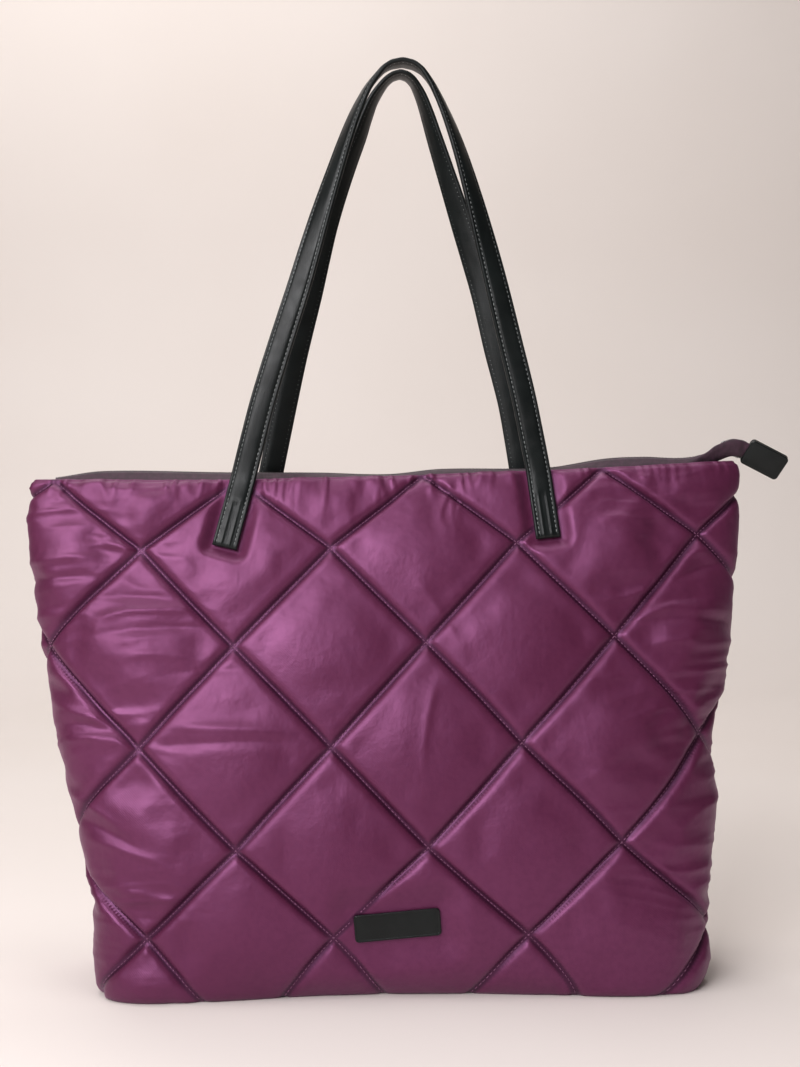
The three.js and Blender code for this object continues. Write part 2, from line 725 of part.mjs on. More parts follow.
function teethGeometry() {
  const end = TAIL_SLIDER_OUT - TEETH_END_CLEAR / END_TAB_LENGTH;
  const stations = zipStations().filter((station) => station.out < end);
  const rings = stations.map((station) => {
    const { middle, across, up } = teethFrame(station);
    return sectionRing(TEETH_SECTION, middle, across, TEETH_WIDTH, up, TEETH_THICKNESS);
  });
  return ringSolid(rings);
}

// Frame of the tail at a distance out, along the line to a second one: x along it, y across, z out of the
// side with the slider
function tailFrame(out, ahead) {
  const along = tailPoint(ahead).sub(tailPoint(out)).normalize();
  const facing = along.clone().cross(TAIL_BACKWARDS).normalize();
  return { origin: tailPoint(out), along, across: facing.clone().cross(along), facing };
}

// The slider and its pull follow the tail's slope at the slider; the end tab its straight last stretch
const SLIDER_FRAME = tailFrame(TAIL_SLIDER_OUT, TAIL_SLIDER_OUT + SHARE_STEP);
const TAB_FRAME = tailFrame(TAIL_TAB_OUT, TAIL_LINE[TAIL_LINE.length - 1].out);

function placeIn(frame, geometry) {
  const matrix = new THREE.Matrix4().makeBasis(frame.along, frame.across, frame.facing);
  matrix.setPosition(frame.origin);
  return outwards(plain(geometry.applyMatrix4(matrix)));
}

function plain(geometry) {
  geometry.deleteAttribute("normal");
  geometry.deleteAttribute("uv");
  return mergeVertices(geometry, MERGE_DISTANCE);
}

// Leather folded round the end of the tail: two layers joined at the far end
function endTabGeometry() {
  const slot = TAPE_THICKNESS / 2 + GAP;
  const half = slot + LEATHER;
  const shape = new THREE.Shape();
  shape.moveTo(0, slot);
  shape.lineTo(0, half);
  shape.lineTo(END_TAB_LENGTH - half, half);
  shape.absarc(END_TAB_LENGTH - half, 0, half, Math.PI / 2, -Math.PI / 2, true);
  shape.lineTo(0, -half);
  shape.lineTo(0, -slot);
  shape.lineTo(END_TAB_LENGTH - half, -slot);
  shape.absarc(END_TAB_LENGTH - half, 0, slot, -Math.PI / 2, Math.PI / 2, false);
  shape.closePath();
  const options = { depth: END_TAB_WIDTH, bevelEnabled: false, curveSegments: 5 };
  const geometry = new THREE.ExtrudeGeometry(shape, options);
  geometry.translate(0, 0, -END_TAB_WIDTH / 2);
  geometry.rotateX(Math.PI / 2);
  return placeIn(TAB_FRAME, geometry);
}

const wasm = await Module();
wasm.setup();

function solid(geometry) {
  const merged = plain(geometry);
  return new wasm.Manifold(
    new wasm.Mesh({
      numProp: 3,
      vertProperties: new Float32Array(merged.getAttribute("position").array),
      triVerts: new Uint32Array(merged.getIndex().array),
    }),
  );
}

function fromSolid(manifold) {
  const mesh = manifold.getMesh();
  const geometry = new THREE.BufferGeometry();
  geometry.setAttribute("position", new THREE.Float32BufferAttribute(mesh.vertProperties, 3));
  geometry.setIndex(new THREE.Uint32BufferAttribute(mesh.triVerts, 1));
  return geometry;
}

const PLATE_CLEAR = TEETH_THICKNESS / 2 + GAP;
const PLATE_TOP = PLATE_CLEAR + PLATE;

// Slider: two plates held by a post between the tapes, with a bridge on the outer plate for the pull
function sliderGeometry() {
  const box = (length, width, height, x, z) =>
    new THREE.BoxGeometry(length, width, height).translate(x, 0, z);
  const postLength = SLIDER_LENGTH * 0.3;
  const postWidth = TEETH_WIDTH * 0.5;
  const opening = PULL_WIRE + 2 * GAP;
  const legHeight = PLATE / 2 + opening + BRIDGE_BAR;
  const legZ = PLATE_TOP - PLATE / 2 + legHeight / 2;
  const legX = (BRIDGE_LENGTH - BRIDGE_BAR) / 2;
  const parts = [
    box(SLIDER_LENGTH, SLIDER_WIDTH, PLATE, 0, PLATE_CLEAR + PLATE / 2),
    box(SLIDER_LENGTH, SLIDER_WIDTH, PLATE, 0, -PLATE_CLEAR - PLATE / 2),
    box(postLength, postWidth, 2 * PLATE_TOP - PLATE, SLIDER_LENGTH / 4, 0),
    box(BRIDGE_BAR, BRIDGE_WIDTH, legHeight, -legX, legZ),
    box(BRIDGE_BAR, BRIDGE_WIDTH, legHeight, legX, legZ),
    box(BRIDGE_LENGTH, BRIDGE_WIDTH, BRIDGE_BAR, 0, PLATE_TOP + opening + BRIDGE_BAR / 2),
  ];
  let body = solid(parts[0]);
  for (const part of parts.slice(1)) body = body.add(solid(part));
  return placeIn(SLIDER_FRAME, fromSolid(body));
}

// Pull: a flat oval wire loop threaded under the bridge, swung down to the tail's lower edge
function pullGeometry() {
  const wireSides = 6;
  const arcSteps = 7;
  const bend = PULL_WIDTH / 2;
  const centreZ = PLATE_TOP + GAP + PULL_WIRE / 2;
  const straight = PULL_LENGTH - PULL_WIDTH;
  const path = [];
  for (const end of [0, 1]) {
    for (let i = 0; i <= arcSteps; i += 1) {
      const angle = Math.PI / 2 + Math.PI * end + (Math.PI * i) / arcSteps;
      const centre = bend + end * straight;
      path.push(new THREE.Vector3(centre + bend * Math.cos(angle), bend * Math.sin(angle), centreZ));
    }
  }
  const rings = path.map((point, n) => {
    const before = path[(n + path.length - 1) % path.length];
    const after = path[(n + 1) % path.length];
    const along = after.clone().sub(before).normalize();
    const side = along.clone().cross(new THREE.Vector3(0, 0, 1)).normalize();
    return Array.from({ length: wireSides }, (_, i) => {
      const angle = (2 * Math.PI * (i + 0.5)) / wireSides;
      return point
        .clone()
        .addScaledVector(side, (Math.cos(angle) * PULL_WIRE) / 2)
        .add(new THREE.Vector3(0, 0, (Math.sin(angle) * PULL_WIRE) / 2));
    });
  });
  const loop = ringSolid(rings, true).rotateZ(THREE.MathUtils.degToRad(PULL_SWING));
  return placeIn(SLIDER_FRAME, loop);
}

const MATERIALS = {
  nylon: { color: 0x7d4870, roughness: 0.42, metalness: 0 },
  leather: { color: 0x22282a, roughness: 0.45, metalness: 0 },
  tape: { color: 0x4e2c42, roughness: 0.7, metalness: 0 },
  coil: { color: 0x3a1f30, roughness: 0.5, metalness: 0 },
  metal: { color: 0xb9b6b0, roughness: 0.25, metalness: 1 },
};

function piece(name, geometry, finish) {
  const mesh = new THREE.Mesh(geometry, new THREE.MeshStandardMaterial(MATERIALS[finish]));
  mesh.name = name;
  return mesh;
}

const bag = new THREE.Group();
bag.add(piece("front_panel", panelGeometry(sewnPlaces(FRONT_LEGS, true), false), "nylon"));
bag.add(piece("back_panel", panelGeometry(sewnPlaces(BACK_LEGS, false), true), "nylon"));
bag.add(piece("zip_tape_front", tapeGeometry(-1), "tape"));
bag.add(piece("zip_tape_back", tapeGeometry(1), "tape"));
bag.add(piece("zip_teeth", teethGeometry(), "coil"));
bag.add(piece("zip_end_tab", endTabGeometry(), "leather"));
bag.add(piece("zip_slider", sliderGeometry(), "metal"));
bag.add(piece("zip_pull", pullGeometry(), "metal"));
bag.add(piece("front_handle", handleGeometry(FRONT_LEGS, false), "leather"));
bag.add(piece("back_handle", handleGeometry(BACK_LEGS, true), "leather"));
bag.add(piece("label_patch", patchGeometry(), "leather"));

export default bag;
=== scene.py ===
"""Puffer tote bag in metres: quilted padded panels of satin nylon whose fabric is simulated, a closed
zip with its tail, padded leather handles and a blank leather patch."""

import math

import bpy
import numpy as np
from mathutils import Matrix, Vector


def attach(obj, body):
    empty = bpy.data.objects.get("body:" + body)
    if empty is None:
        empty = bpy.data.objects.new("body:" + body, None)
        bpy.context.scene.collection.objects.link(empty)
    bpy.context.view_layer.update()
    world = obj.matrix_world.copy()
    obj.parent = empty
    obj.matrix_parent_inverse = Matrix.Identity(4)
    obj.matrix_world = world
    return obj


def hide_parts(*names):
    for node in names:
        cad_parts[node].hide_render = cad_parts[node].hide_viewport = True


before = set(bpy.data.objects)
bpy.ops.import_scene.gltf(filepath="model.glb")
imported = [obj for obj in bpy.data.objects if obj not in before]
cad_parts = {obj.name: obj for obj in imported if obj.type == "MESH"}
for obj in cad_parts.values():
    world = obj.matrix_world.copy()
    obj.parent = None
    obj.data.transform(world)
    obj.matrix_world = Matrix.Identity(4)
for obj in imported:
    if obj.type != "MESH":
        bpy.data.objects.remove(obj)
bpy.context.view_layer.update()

MM = 0.001

# Driving sizes, the same as the solids'
HALF_TOP = 235 * MM
SEAM_HEIGHT = 328 * MM
TOP_RISE = 13 * MM
HALF_BASE = 65.5 * MM
BASE_SEAM_SETBACK = 46 * MM
BASE_SEAM_SHIFT = 4 * MM
WALL = 3 * MM
GAP = 0.3 * MM
QUILT_HALF_WIDTH = 60.5 * MM
QUILT_HALF_HEIGHT = 63 * MM
QUILT_SHIFT = 22 * MM
PUFF = 6 * MM
SEWN_LIFT = 0.9 * MM

STRAP_WIDTH = 16.5 * MM
STRAP_THICKNESS = 5 * MM
TAB_THICKNESS = 3.4 * MM
TAB_LENGTH = 30 * MM
TAB_BOTTOM_HEIGHT = 282 * MM
RIGHT_TAB_RAISE = 6 * MM
TAB_SPACING = 210 * MM
HANDLE_RISE = 274 * MM
APEX_FORWARD = 13 * MM

TAPE_THICKNESS = 1.3 * MM
TAPE_TUCK = 8 * MM
TEETH_WIDTH = 4.6 * MM
TEETH_PITCH = 2.1 * MM
RIDGE_RISE = 6.5 * MM
GATHER_DEPTH = 1.2 * MM
TAIL_WIDTH = 12 * MM
TAIL_ROLL = math.radians(65)
END_TAB_LENGTH = 28 * MM
END_TAB_WIDTH = 18 * MM
END_TAB_THICKNESS = 4.9 * MM
SLIDER_OUT = 0.62
END_TAB_OUT = 1.04
PULL_LENGTH = 16 * MM
PULL_WIDTH = 10 * MM
PULL_WIRE = 1.4 * MM
PULL_SWING = math.radians(35)

PATCH_WIDTH = 54 * MM
PATCH_HEIGHT = 17.5 * MM
PATCH_THICKNESS = 1.6 * MM
PATCH_CENTRE_HEIGHT = 48 * MM
PATCH_SIDE_SHIFT = 3 * MM
PATCH_TILT = math.radians(4.8)

# Level sections of the body, as shares of the seam's height, half the top width and half the base depth
SECTION_COLUMNS = ("height", "left", "right", "depth", "square", "recess")
SECTIONS = [
    (0.0, 0.748, 0.808, 0.93, 7.0, 0.33),
    (0.02, 0.764, 0.836, 0.99, 6.3, 0.25),
    (0.06, 0.77, 0.857, 1.0, 5.6, 0.12),
    (0.14, 0.776, 0.867, 1.0, 5.0, 0.03),
    (0.24, 0.812, 0.862, 0.98, 4.4, 0.0),
    (0.37, 0.853, 0.887, 0.92, 4.0, 0.0),
    (0.47, 0.876, 0.887, 0.85, 3.7, 0.0),
    (0.57, 0.912, 0.926, 0.76, 3.4, 0.0),
    (0.73, 0.957, 0.958, 0.59, 3.1, 0.0),
    (0.86, 0.974, 0.976, 0.44, 2.9, 0.0),
    (0.95, 0.987, 0.984, 0.32, 2.8, 0.0),
    (1.0, 0.985, 0.986, 0.235, 2.8, 0.0),
]

# Heights of the rows of quilt crossings from the top seam down, as shares of its height
CROSSING_HEIGHTS = (1.0, 0.861, 0.673, 0.478, 0.286, 0.118)

# Top seam and zip ridge along the bag, as shares of TOP_RISE and RIDGE_RISE
TOP_COLUMNS = ("across", "seam", "ridge")
TOP_LINE = [
    (-1.0, -0.15, 0.0),
    (-0.93, -0.15, 0.25),
    (-0.8, -0.17, 0.95),
    (-0.45, -0.17, 0.85),
    (-0.2, -0.05, 0.6),
    (0.0, 0.03, 0.3),
    (0.15, 0.15, 0.6),
    (0.45, 0.35, 0.35),
    (0.62, 0.5, 1.0),
    (0.73, 0.6, 1.0),
    (0.83, 0.72, 0.65),
    (0.9, 0.8, 0.7),
    (1.0, 0.9, 0.9),
]

# The zip's tail past the end of the seam, in shares of the end tab's length
TAIL_START = 0.905
TAIL_COLUMNS = ("out", "up")
TAIL_LINE = [(0.0, 0.0), (0.36, 0.16), (0.67, 0.27), (0.95, 0.23), (1.04, 0.19), (1.53, -0.06)]

# The handles from the top seam to their apex: places of the legs as shares of half the tabs' spacing
HANDLE_COLUMNS = ("rise", "frontLeft", "frontRight", "backLeft", "backRight", "turn")
HANDLE_LINE = [
    (0.0, -0.907, 0.932, -0.756, 0.878, 0.0),
    (0.17, -0.797, 0.847, -0.666, 0.803, 0.04),
    (0.31, -0.687, 0.762, -0.588, 0.71, 0.1),
    (0.46, -0.562, 0.67, -0.491, 0.617, 0.2),
    (0.62, -0.437, 0.565, -0.388, 0.489, 0.4),
    (0.75, -0.327, 0.472, -0.274, 0.381, 0.58),
    (0.85, -0.237, 0.385, -0.173, 0.298, 0.7),
    (0.93, -0.144, 0.294, -0.096, 0.231, 0.82),
    (0.975, -0.054, 0.219, -0.021, 0.176, 0.93),
    (0.994, 0.011, 0.154, 0.034, 0.131, 1.0),
    (1.0, 0.085, 0.085, 0.085, 0.085, 1.0),
]
TAB_FEET = {"frontLeft": -1.015, "frontRight": 0.98, "backLeft": -0.87, "backRight": 0.95}
FRONT_LEGS = ("frontLeft", "frontRight")
BACK_LEGS = ("backLeft", "backRight")

# Soft folds pressed into the fabric: middle across and height in millimetres, half length and width in
# millimetres, slope in degrees, and height in millimetres, negative for a crease
FOLD_COLUMNS = ("across", "height", "length", "width", "slope", "rise")
FRONT_FOLDS = [
    (-205, 262, 40, 3.2, 2, -1.8),
    (-208, 274, 36, 3.4, 4, 1.7),
    (-176, 284, 30, 2.6, -3, 1.3),
    (-212, 238, 30, 3.6, 6, 1.6),
    (-150, 240, 42, 2.8, 5, 1.6),
    (-146, 229, 48, 2.6, 4, -1.6),
    (-158, 249, 36, 3.0, -3, -1.1),
    (-140, 212, 42, 3.4, -3, 1.4),
    (-120, 203, 34, 2.8, 3, -0.9),
    (-196, 176, 28, 3.2, -20, 1.8),
    (-176, 166, 34, 2.8, -12, -1.6),
    (-168, 158, 36, 2.8, -6, 1.2),
    (-108, 158, 50, 3.2, 2, -1.4),
    (-104, 167, 46, 3.0, -2, 1.5),
    (-190, 118, 26, 3.0, -26, 1.7),
    (-180, 104, 26, 2.8, -22, -1.4),
    (-166, 92, 30, 2.8, -16, 1.3),
    (-160, 66, 28, 2.8, -10, 1.0),
    (196, 268, 24, 2.6, 10, 1.6),
    (204, 258, 24, 2.6, 14, -1.4),
    (200, 225, 32, 2.8, -6, -1.5),
    (190, 233, 38, 2.8, -4, 1.6),
    (186, 214, 34, 2.6, 3, 1.0),
    (160, 226, 44, 3.2, 3, -1.0),
    (208, 176, 24, 3.2, 18, 1.6),
    (206, 165, 24, 2.8, 10, -1.6),
    (200, 110, 26, 3.2, 24, 1.2),
    (24, 170, 30, 3.0, 80, 0.9),
    (30, 236, 34, 3.0, -58, 0.7),
]


def column_curve(columns, rows, key, name):
    """Smooth function through one column of a table, against its key column."""
    x = np.array([row[columns.index(key)] for row in rows], float)
    y = np.array([row[columns.index(name)] for row in rows], float)
    chord = np.diff(y) / np.diff(x)
    slope = np.empty_like(x)
    slope[1:-1] = (y[2:] - y[:-2]) / (x[2:] - x[:-2])
    slope[0], slope[-1] = chord[0], chord[-1]

    def value(at):
        at = np.asarray(at, float)
        i = np.clip(np.searchsorted(x, at) - 1, 0, len(x) - 2)
        span = x[i + 1] - x[i]
        t = np.clip((at - x[i]) / span, 0, 1)
        return (
            (2 * t**3 - 3 * t**2 + 1) * y[i]
            + (t**3 - 2 * t**2 + t) * slope[i] * span
            + (3 * t**2 - 2 * t**3) * y[i + 1]
            + (t**3 - t**2) * slope[i + 1] * span
        )

    return value


SECTION = {n: column_curve(SECTION_COLUMNS, SECTIONS, "height", n) for n in SECTION_COLUMNS[1:]}
TOP = {n: column_curve(TOP_COLUMNS, TOP_LINE, "across", n) for n in TOP_COLUMNS[1:]}
TAIL_UP = column_curve(TAIL_COLUMNS, TAIL_LINE, "out", "up")
HANDLE = {n: column_curve(HANDLE_COLUMNS, HANDLE_LINE, "rise", n) for n in HANDLE_COLUMNS[1:]}
PLAN_STEPS = 320
PLAN_ANGLES = np.linspace(0, math.pi, PLAN_STEPS + 1)


def smoothstep(low, high, x):
    t = np.clip((np.asarray(x, float) - low) / (high - low), 0, 1)
    return t * t * (3 - 2 * t)


def unit(v):
    return v / np.maximum(np.linalg.norm(v, axis=-1, keepdims=True), 1e-12)


def seam_height(x):
    return SEAM_HEIGHT + TOP_RISE * TOP["seam"](x / HALF_TOP)


def ridge_height(x):
    return seam_height(x) + RIDGE_RISE * TOP["ridge"](x / HALF_TOP)


def plan_curve(height, grow=1.0):
    """Outline of the front half of one level section, and the length along it."""
    value = {name: float(curve(height)) for name, curve in SECTION.items()}
    back = BASE_SEAM_SETBACK * (1 - grow)
    side = np.abs(np.cos(PLAN_ANGLES)) ** (2 / value["square"])
    front = np.sin(PLAN_ANGLES) ** (2 / value["square"])
    left = -(value["left"] * HALF_TOP - back) * side
    right = (value["right"] * HALF_TOP - back) * side
    x = np.where(PLAN_ANGLES < math.pi / 2, left, right)
    drawn_in = value["recess"] * (1 - side**2) ** 2
    y = -np.maximum(value["depth"] * front - drawn_in, 0) * HALF_BASE * grow
    lengths = np.concatenate([[0], np.cumsum(np.hypot(np.diff(x), np.diff(y)))])
    return x, y, lengths


def along_plan(curve, share):
    """Points of a plan curve, where share runs from -1 at the left seam to 1 at the right one."""
    x, y, lengths = curve
    middle, whole = lengths[PLAN_STEPS // 2], lengths[-1]
    wanted = np.where(share < 0, middle * (1 + share), middle + (whole - middle) * share)
    return np.interp(wanted, lengths, x), np.interp(wanted, lengths, y)


BASE_REACH = SECTIONS[0][3] * HALF_BASE


def wall_grid(shares, heights):
    """Middle of the front panel's wall. Rows above the floor have a height in metres, and rows of the
    base a distance below nought from the base's edge towards its middle seam."""
    rows = []
    for height in heights:
        if height < 0:
            x, y = along_plan(plan_curve(0.0, 1 + height / BASE_REACH), shares)
            z = np.full_like(x, WALL / 2)
        else:
            level = height / SEAM_HEIGHT
            x, y = along_plan(plan_curve(level), shares)
            z = WALL / 2 + (seam_height(x) - WALL / 2) * level
        rows.append(np.stack([x, y, z], axis=-1))
    return np.array(rows)


def grid_normals(points):
    """Outward normals of a grid whose rows run up and whose columns run to the right."""
    down = np.gradient(points, axis=0)
    right = np.gradient(points, axis=1)
    return unit(np.cross(right, down))


def blurred(field, passes, axis):
    for _ in range(passes):
        field = (
            np.take(field, np.r_[0, 0 : field.shape[axis] - 1], axis=axis)
            + 2 * field
            + np.take(field, np.r_[1 : field.shape[axis], field.shape[axis] - 1], axis=axis)
        ) / 4
    return field


WALL_SEARCHES = 30
NORMAL_SHARE = 0.01
NORMAL_RISE = 2 * MM


def wall_point(x, z):
    """Middle of the front panel's wall at a place seen from the front, and its outward normal."""
    level = min((z - WALL / 2) / (float(seam_height(x)) - WALL / 2), 1.0)
    height = level * SEAM_HEIGHT
    curve = plan_curve(level)
    low, high = -1.0, 1.0
    for _ in range(WALL_SEARCHES):
        middle = (low + high) / 2
        if along_plan(curve, np.array([middle]))[0][0] < x:
            low = middle
        else:
            high = middle
    shares = np.array([low - NORMAL_SHARE, low, low + NORMAL_SHARE])
    heights = [max(height - NORMAL_RISE, 0), height, min(height + NORMAL_RISE, SEAM_HEIGHT)]
    patch = wall_grid(shares, heights)
    normal = unit(np.cross(patch[1, 2] - patch[1, 0], patch[2, 1] - patch[0, 1]))
    return patch[1, 1], normal


# Fine grid of the quilted panels: whole steps of the quilting, so that the quilt lines run through it
STEPS = 38
SIM_EVERY = 3
INNER_EVERY = 8
COLUMN_LEVEL = 0.5
EDGE_ROOM = 0.4


class PanelGrid:
    """Columns and rows of a panel in quilt half pitches: across from the middle column of crossings,
    and down from the top seam."""

    def __init__(self, steps):
        _, _, lengths = plan_curve(COLUMN_LEVEL)
        left = lengths[PLAN_STEPS // 2]
        right = lengths[-1] - left
        step = QUILT_HALF_WIDTH / steps
        first = math.ceil((-left - QUILT_SHIFT) / step + EDGE_ROOM)
        last = math.floor((right - QUILT_SHIFT) / step - EDGE_ROOM)
        ks = np.arange(first, last + 1)
        s = ks * step + QUILT_SHIFT
        self.across = np.concatenate([[-left], s, [right]])
        self.shares = np.where(self.across < 0, self.across / left, self.across / right)
        self.u = (self.across - QUILT_SHIFT) / QUILT_HALF_WIDTH
        self.ks = np.concatenate([[first - 1], ks, [last + 1]])
        deepest = self.down_of(-BASE_REACH)
        js = np.arange(0, math.floor(deepest * steps - EDGE_ROOM) + 1)
        self.v = np.concatenate([js / steps, [deepest]])[::-1]
        self.js = np.concatenate([js, [js[-1] + 1]])[::-1]
        self.heights = self.height_of(self.v)
        self.steps = steps

    @staticmethod
    def height_of(down):
        levels = np.array(CROSSING_HEIGHTS) * SEAM_HEIGHT
        upper = np.interp(down, range(len(levels)), levels)
        past = np.maximum(down - (len(levels) - 1), 0)
        return upper - past * QUILT_HALF_HEIGHT

    @staticmethod
    def down_of(height):
        levels = np.array(CROSSING_HEIGHTS) * SEAM_HEIGHT
        if height < levels[-1]:
            return len(levels) - 1 + (levels[-1] - height) / QUILT_HALF_HEIGHT
        return np.interp(height, levels[::-1], range(len(levels))[::-1])


LINE_DISTANCE = 2 / math.hypot(1 / QUILT_HALF_WIDTH, 1 / QUILT_HALF_HEIGHT)
CHANNEL = 1.3 * MM
# Width and edge sharpness of the shade painted into the colour along the quilt channels
CHANNEL_SHADE = 2.2 * MM
CHANNEL_POWER = 4
SHOULDER = 1.5 * MM
SHOULDER_FILL = 0.7
DOME_FILL = 0.3
SEWN_MARGIN = 0.5 * MM
TAB_PRESS = 9 * MM
PATCH_PRESS = 20 * MM

# The fill towards the panel's edges and the base
SIDE_FILL_POWER = 0.6
TOP_FILL_POWER = 0.5
SHALLOW_FILL = 0.75
SHALLOW_LOW = 2 * MM
SHALLOW_HIGH = 34 * MM
BASE_ROLL = 22 * MM
ROLL_BLURS = 12
BASE_FADE_LOW = -8 * MM
BASE_FADE_HIGH = 2 * MM
BASE_SINK = 1.4 * MM

# Seeded variation
NOISE_CELLS = 160
WAVE_KNOTS = 400
WAVE_OCTAVES = 3
WAVE_FADE = 1.6
WOBBLE = 0.18
WOBBLE_ACROSS = (37, 0.9)
WOBBLE_DOWN = (11, 0.8)

# Folds of the slack fabric, and the gathers under the top seam
CREST_SPAN = 1.6
FOLD_BOW = 0.8
FOLD_POWER = 1.4
SIDE_FOLD_RISE = 1.5 * MM
TENSION_SEED = 20
FOLDS_FROM_LINE = 1.5 * MM
FOLDS_FULL = 5 * MM
GATHER_RISE = 2.6 * MM
GATHER_PITCH = 5.5 * MM
GATHER_CHANGE = 30 * MM
GATHER_DRIFT = 2.5 * MM
GATHER_SHORTEST = 7 * MM
GATHER_LONGER = 17 * MM
GATHER_CALM = 0.55
GATHER_CALM_FROM = 0.35
GATHER_CALM_FULL = 0.6
GATHERS_FROM_SIDE = 8 * MM


def line_distances(u, v):
    """Distances in metres to the nearest quilt line of each of the two directions."""
    rising = (u + v) / 2
    falling = (u - v) / 2
    return (
        np.abs(rising - np.round(rising)) * LINE_DISTANCE,
        np.abs(falling - np.round(falling)) * LINE_DISTANCE,
    )


def fill_profile(distance):
    """Height of the fill beside one quilt line: a steep shoulder and then a slow dome."""
    shoulder = 1 - np.exp(-np.maximum(distance - CHANNEL, 0) / SHOULDER)
    dome = np.sin(np.clip(distance / (LINE_DISTANCE / 2), 0, 1) * math.pi / 2)
    return SHOULDER_FILL * shoulder + DOME_FILL * dome


def sewn_mask(points, places, margin, reach_share=1.0):
    """1 where something sewn on presses the fill flat, 0 away from it."""
    most = np.zeros(points.shape[:2])
    for start, end, half_width, reach in places:
        along = np.subtract(end, start)
        length = math.hypot(*along)
        along = along / length
        dx = points[..., 0] - start[0]
        dz = points[..., 2] - start[1]
        run = dx * along[0] + dz * along[1]
        off = np.abs(dx * along[1] - dz * along[0])
        past = np.maximum(np.maximum(-run, run - length), 0)
        distance = np.hypot(past, np.maximum(off - half_width, 0))
        most = np.maximum(most, 1 - smoothstep(0, reach * reach_share, distance - margin))
    return most


def tab_ends(leg):
    """Lower and upper end, across and up, of the sewn tab at the foot of one leg."""
    half = TAB_SPACING / 2
    raise_by = RIGHT_TAB_RAISE if TAB_FEET[leg] > 0 else 0
    top_x = float(HANDLE[leg](0.0)) * half
    return (TAB_FEET[leg] * half, TAB_BOTTOM_HEIGHT + raise_by), (top_x, float(seam_height(top_x)))


def sewn_places(legs, with_patch):
    """What is sewn to a panel: ends of its middle line, half its width, and how far it presses the fill."""
    places = [(*tab_ends(leg), STRAP_WIDTH / 2, TAB_PRESS) for leg in legs]
    if with_patch:
        half = PATCH_WIDTH / 2
        dx, dz = half * math.cos(PATCH_TILT), half * math.sin(PATCH_TILT)
        left = (PATCH_SIDE_SHIFT - dx, PATCH_CENTRE_HEIGHT - dz)
        right = (PATCH_SIDE_SHIFT + dx, PATCH_CENTRE_HEIGHT + dz)
        places.append((left, right, PATCH_HEIGHT / 2, PATCH_PRESS))
    return places


def waves(x, seed, length):
    """Smooth seeded variation from -1 to 1 along a line."""
    rng = np.random.default_rng(seed)
    total = np.zeros_like(x)
    for octave in range(WAVE_OCTAVES):
        knots = rng.uniform(-1, 1, WAVE_KNOTS)
        place = (np.asarray(x) / (length / 2**octave)) % (WAVE_KNOTS - 1)
        i = place.astype(int)
        t = place - i
        t = t * t * (3 - 2 * t)
        total += (knots[i] * (1 - t) + knots[i + 1] * t) / WAVE_FADE**octave
    return total / 2


def field_noise(x, z, seed):
    """Smooth seeded variation from -1 to 1 over a plane whose cells are one unit wide."""
    knots = np.random.default_rng(seed).uniform(-1, 1, (NOISE_CELLS, NOISE_CELLS))
    i, j = np.floor(x).astype(int), np.floor(z).astype(int)
    tx, tz = x - i, z - j
    tx, tz = tx * tx * (3 - 2 * tx), tz * tz * (3 - 2 * tz)
    i, j = i % (NOISE_CELLS - 1), j % (NOISE_CELLS - 1)
    low = knots[j, i] * (1 - tx) + knots[j, i + 1] * tx
    high = knots[j + 1, i] * (1 - tx) + knots[j + 1, i + 1] * tx
    return low * (1 - tz) + high * tz


def crest(value, sharpness):
    """Narrow crests along the lines where a variation passes through nought."""
    return (1 - np.minimum(np.abs(value) * CREST_SPAN, 1)) ** sharpness


def folds_relief(across, heights, folds, mirrored):
    """The larger folds of the fabric, each with a narrow crest and long tapering ends."""
    relief = np.zeros((len(heights), len(across)))
    side = -1 if mirrored else 1
    for fold in folds:
        f = dict(zip(FOLD_COLUMNS, fold))
        x0 = f["across"] * MM * side
        slope = math.radians(f["slope"]) * side
        dx = across[None, :] - x0
        dz = heights[:, None] - f["height"] * MM
        along = (dx * math.cos(slope) + dz * math.sin(slope)) / (f["length"] * MM)
        bow = f["width"] * MM * FOLD_BOW * (1 - along**2)
        off = (-dx * math.sin(slope) + dz * math.cos(slope) - bow) / (f["width"] * MM)
        taper = np.clip(1 - along**2, 0, 1)
        relief += f["rise"] * MM * taper * np.exp(-(np.abs(off) ** FOLD_POWER))
    return relief


# Variations of the slack fabric: lengths of a cell across and up, and shifts that keep both above nought
TENSION_FIELDS = {
    "bend": (46 * MM, 40 * MM, 20, 0),
    "wide": (52 * MM, 12 * MM, 20, 5),
    "fine": (30 * MM, 6.5 * MM, 20, 5),
    "strength": (40 * MM, 34 * MM, 9, 0),
}
TENSION_BEND = 7 * MM
TENSION_FROM = 0.42
TENSION_FULL = 0.72


def tension_field(name, x, z, seed):
    """One of the variations of the slack fabric, each with a seed of its own."""
    wide, tall, shift_x, shift_z = TENSION_FIELDS[name]
    number = list(TENSION_FIELDS).index(name)
    return field_noise(x / wide + shift_x, z / tall + shift_z, seed + number)


def tension_relief(across, heights, seed):
    """Fine level folds of the slack fabric towards the side seams."""
    x, z = np.meshgrid(across, heights)
    bent = z + tension_field("bend", x, z, seed) * TENSION_BEND
    slack = smoothstep(TENSION_FROM, TENSION_FULL, np.abs(x) / HALF_TOP)
    wide = crest(tension_field("wide", x, bent, seed), 2)
    fine = crest(tension_field("fine", x, bent, seed), 1.6)
    strength = 0.55 + 0.6 * tension_field("strength", x, z, seed)
    return SIDE_FOLD_RISE * (wide + fine / 2) * slack * np.clip(strength, 0, 1.2)


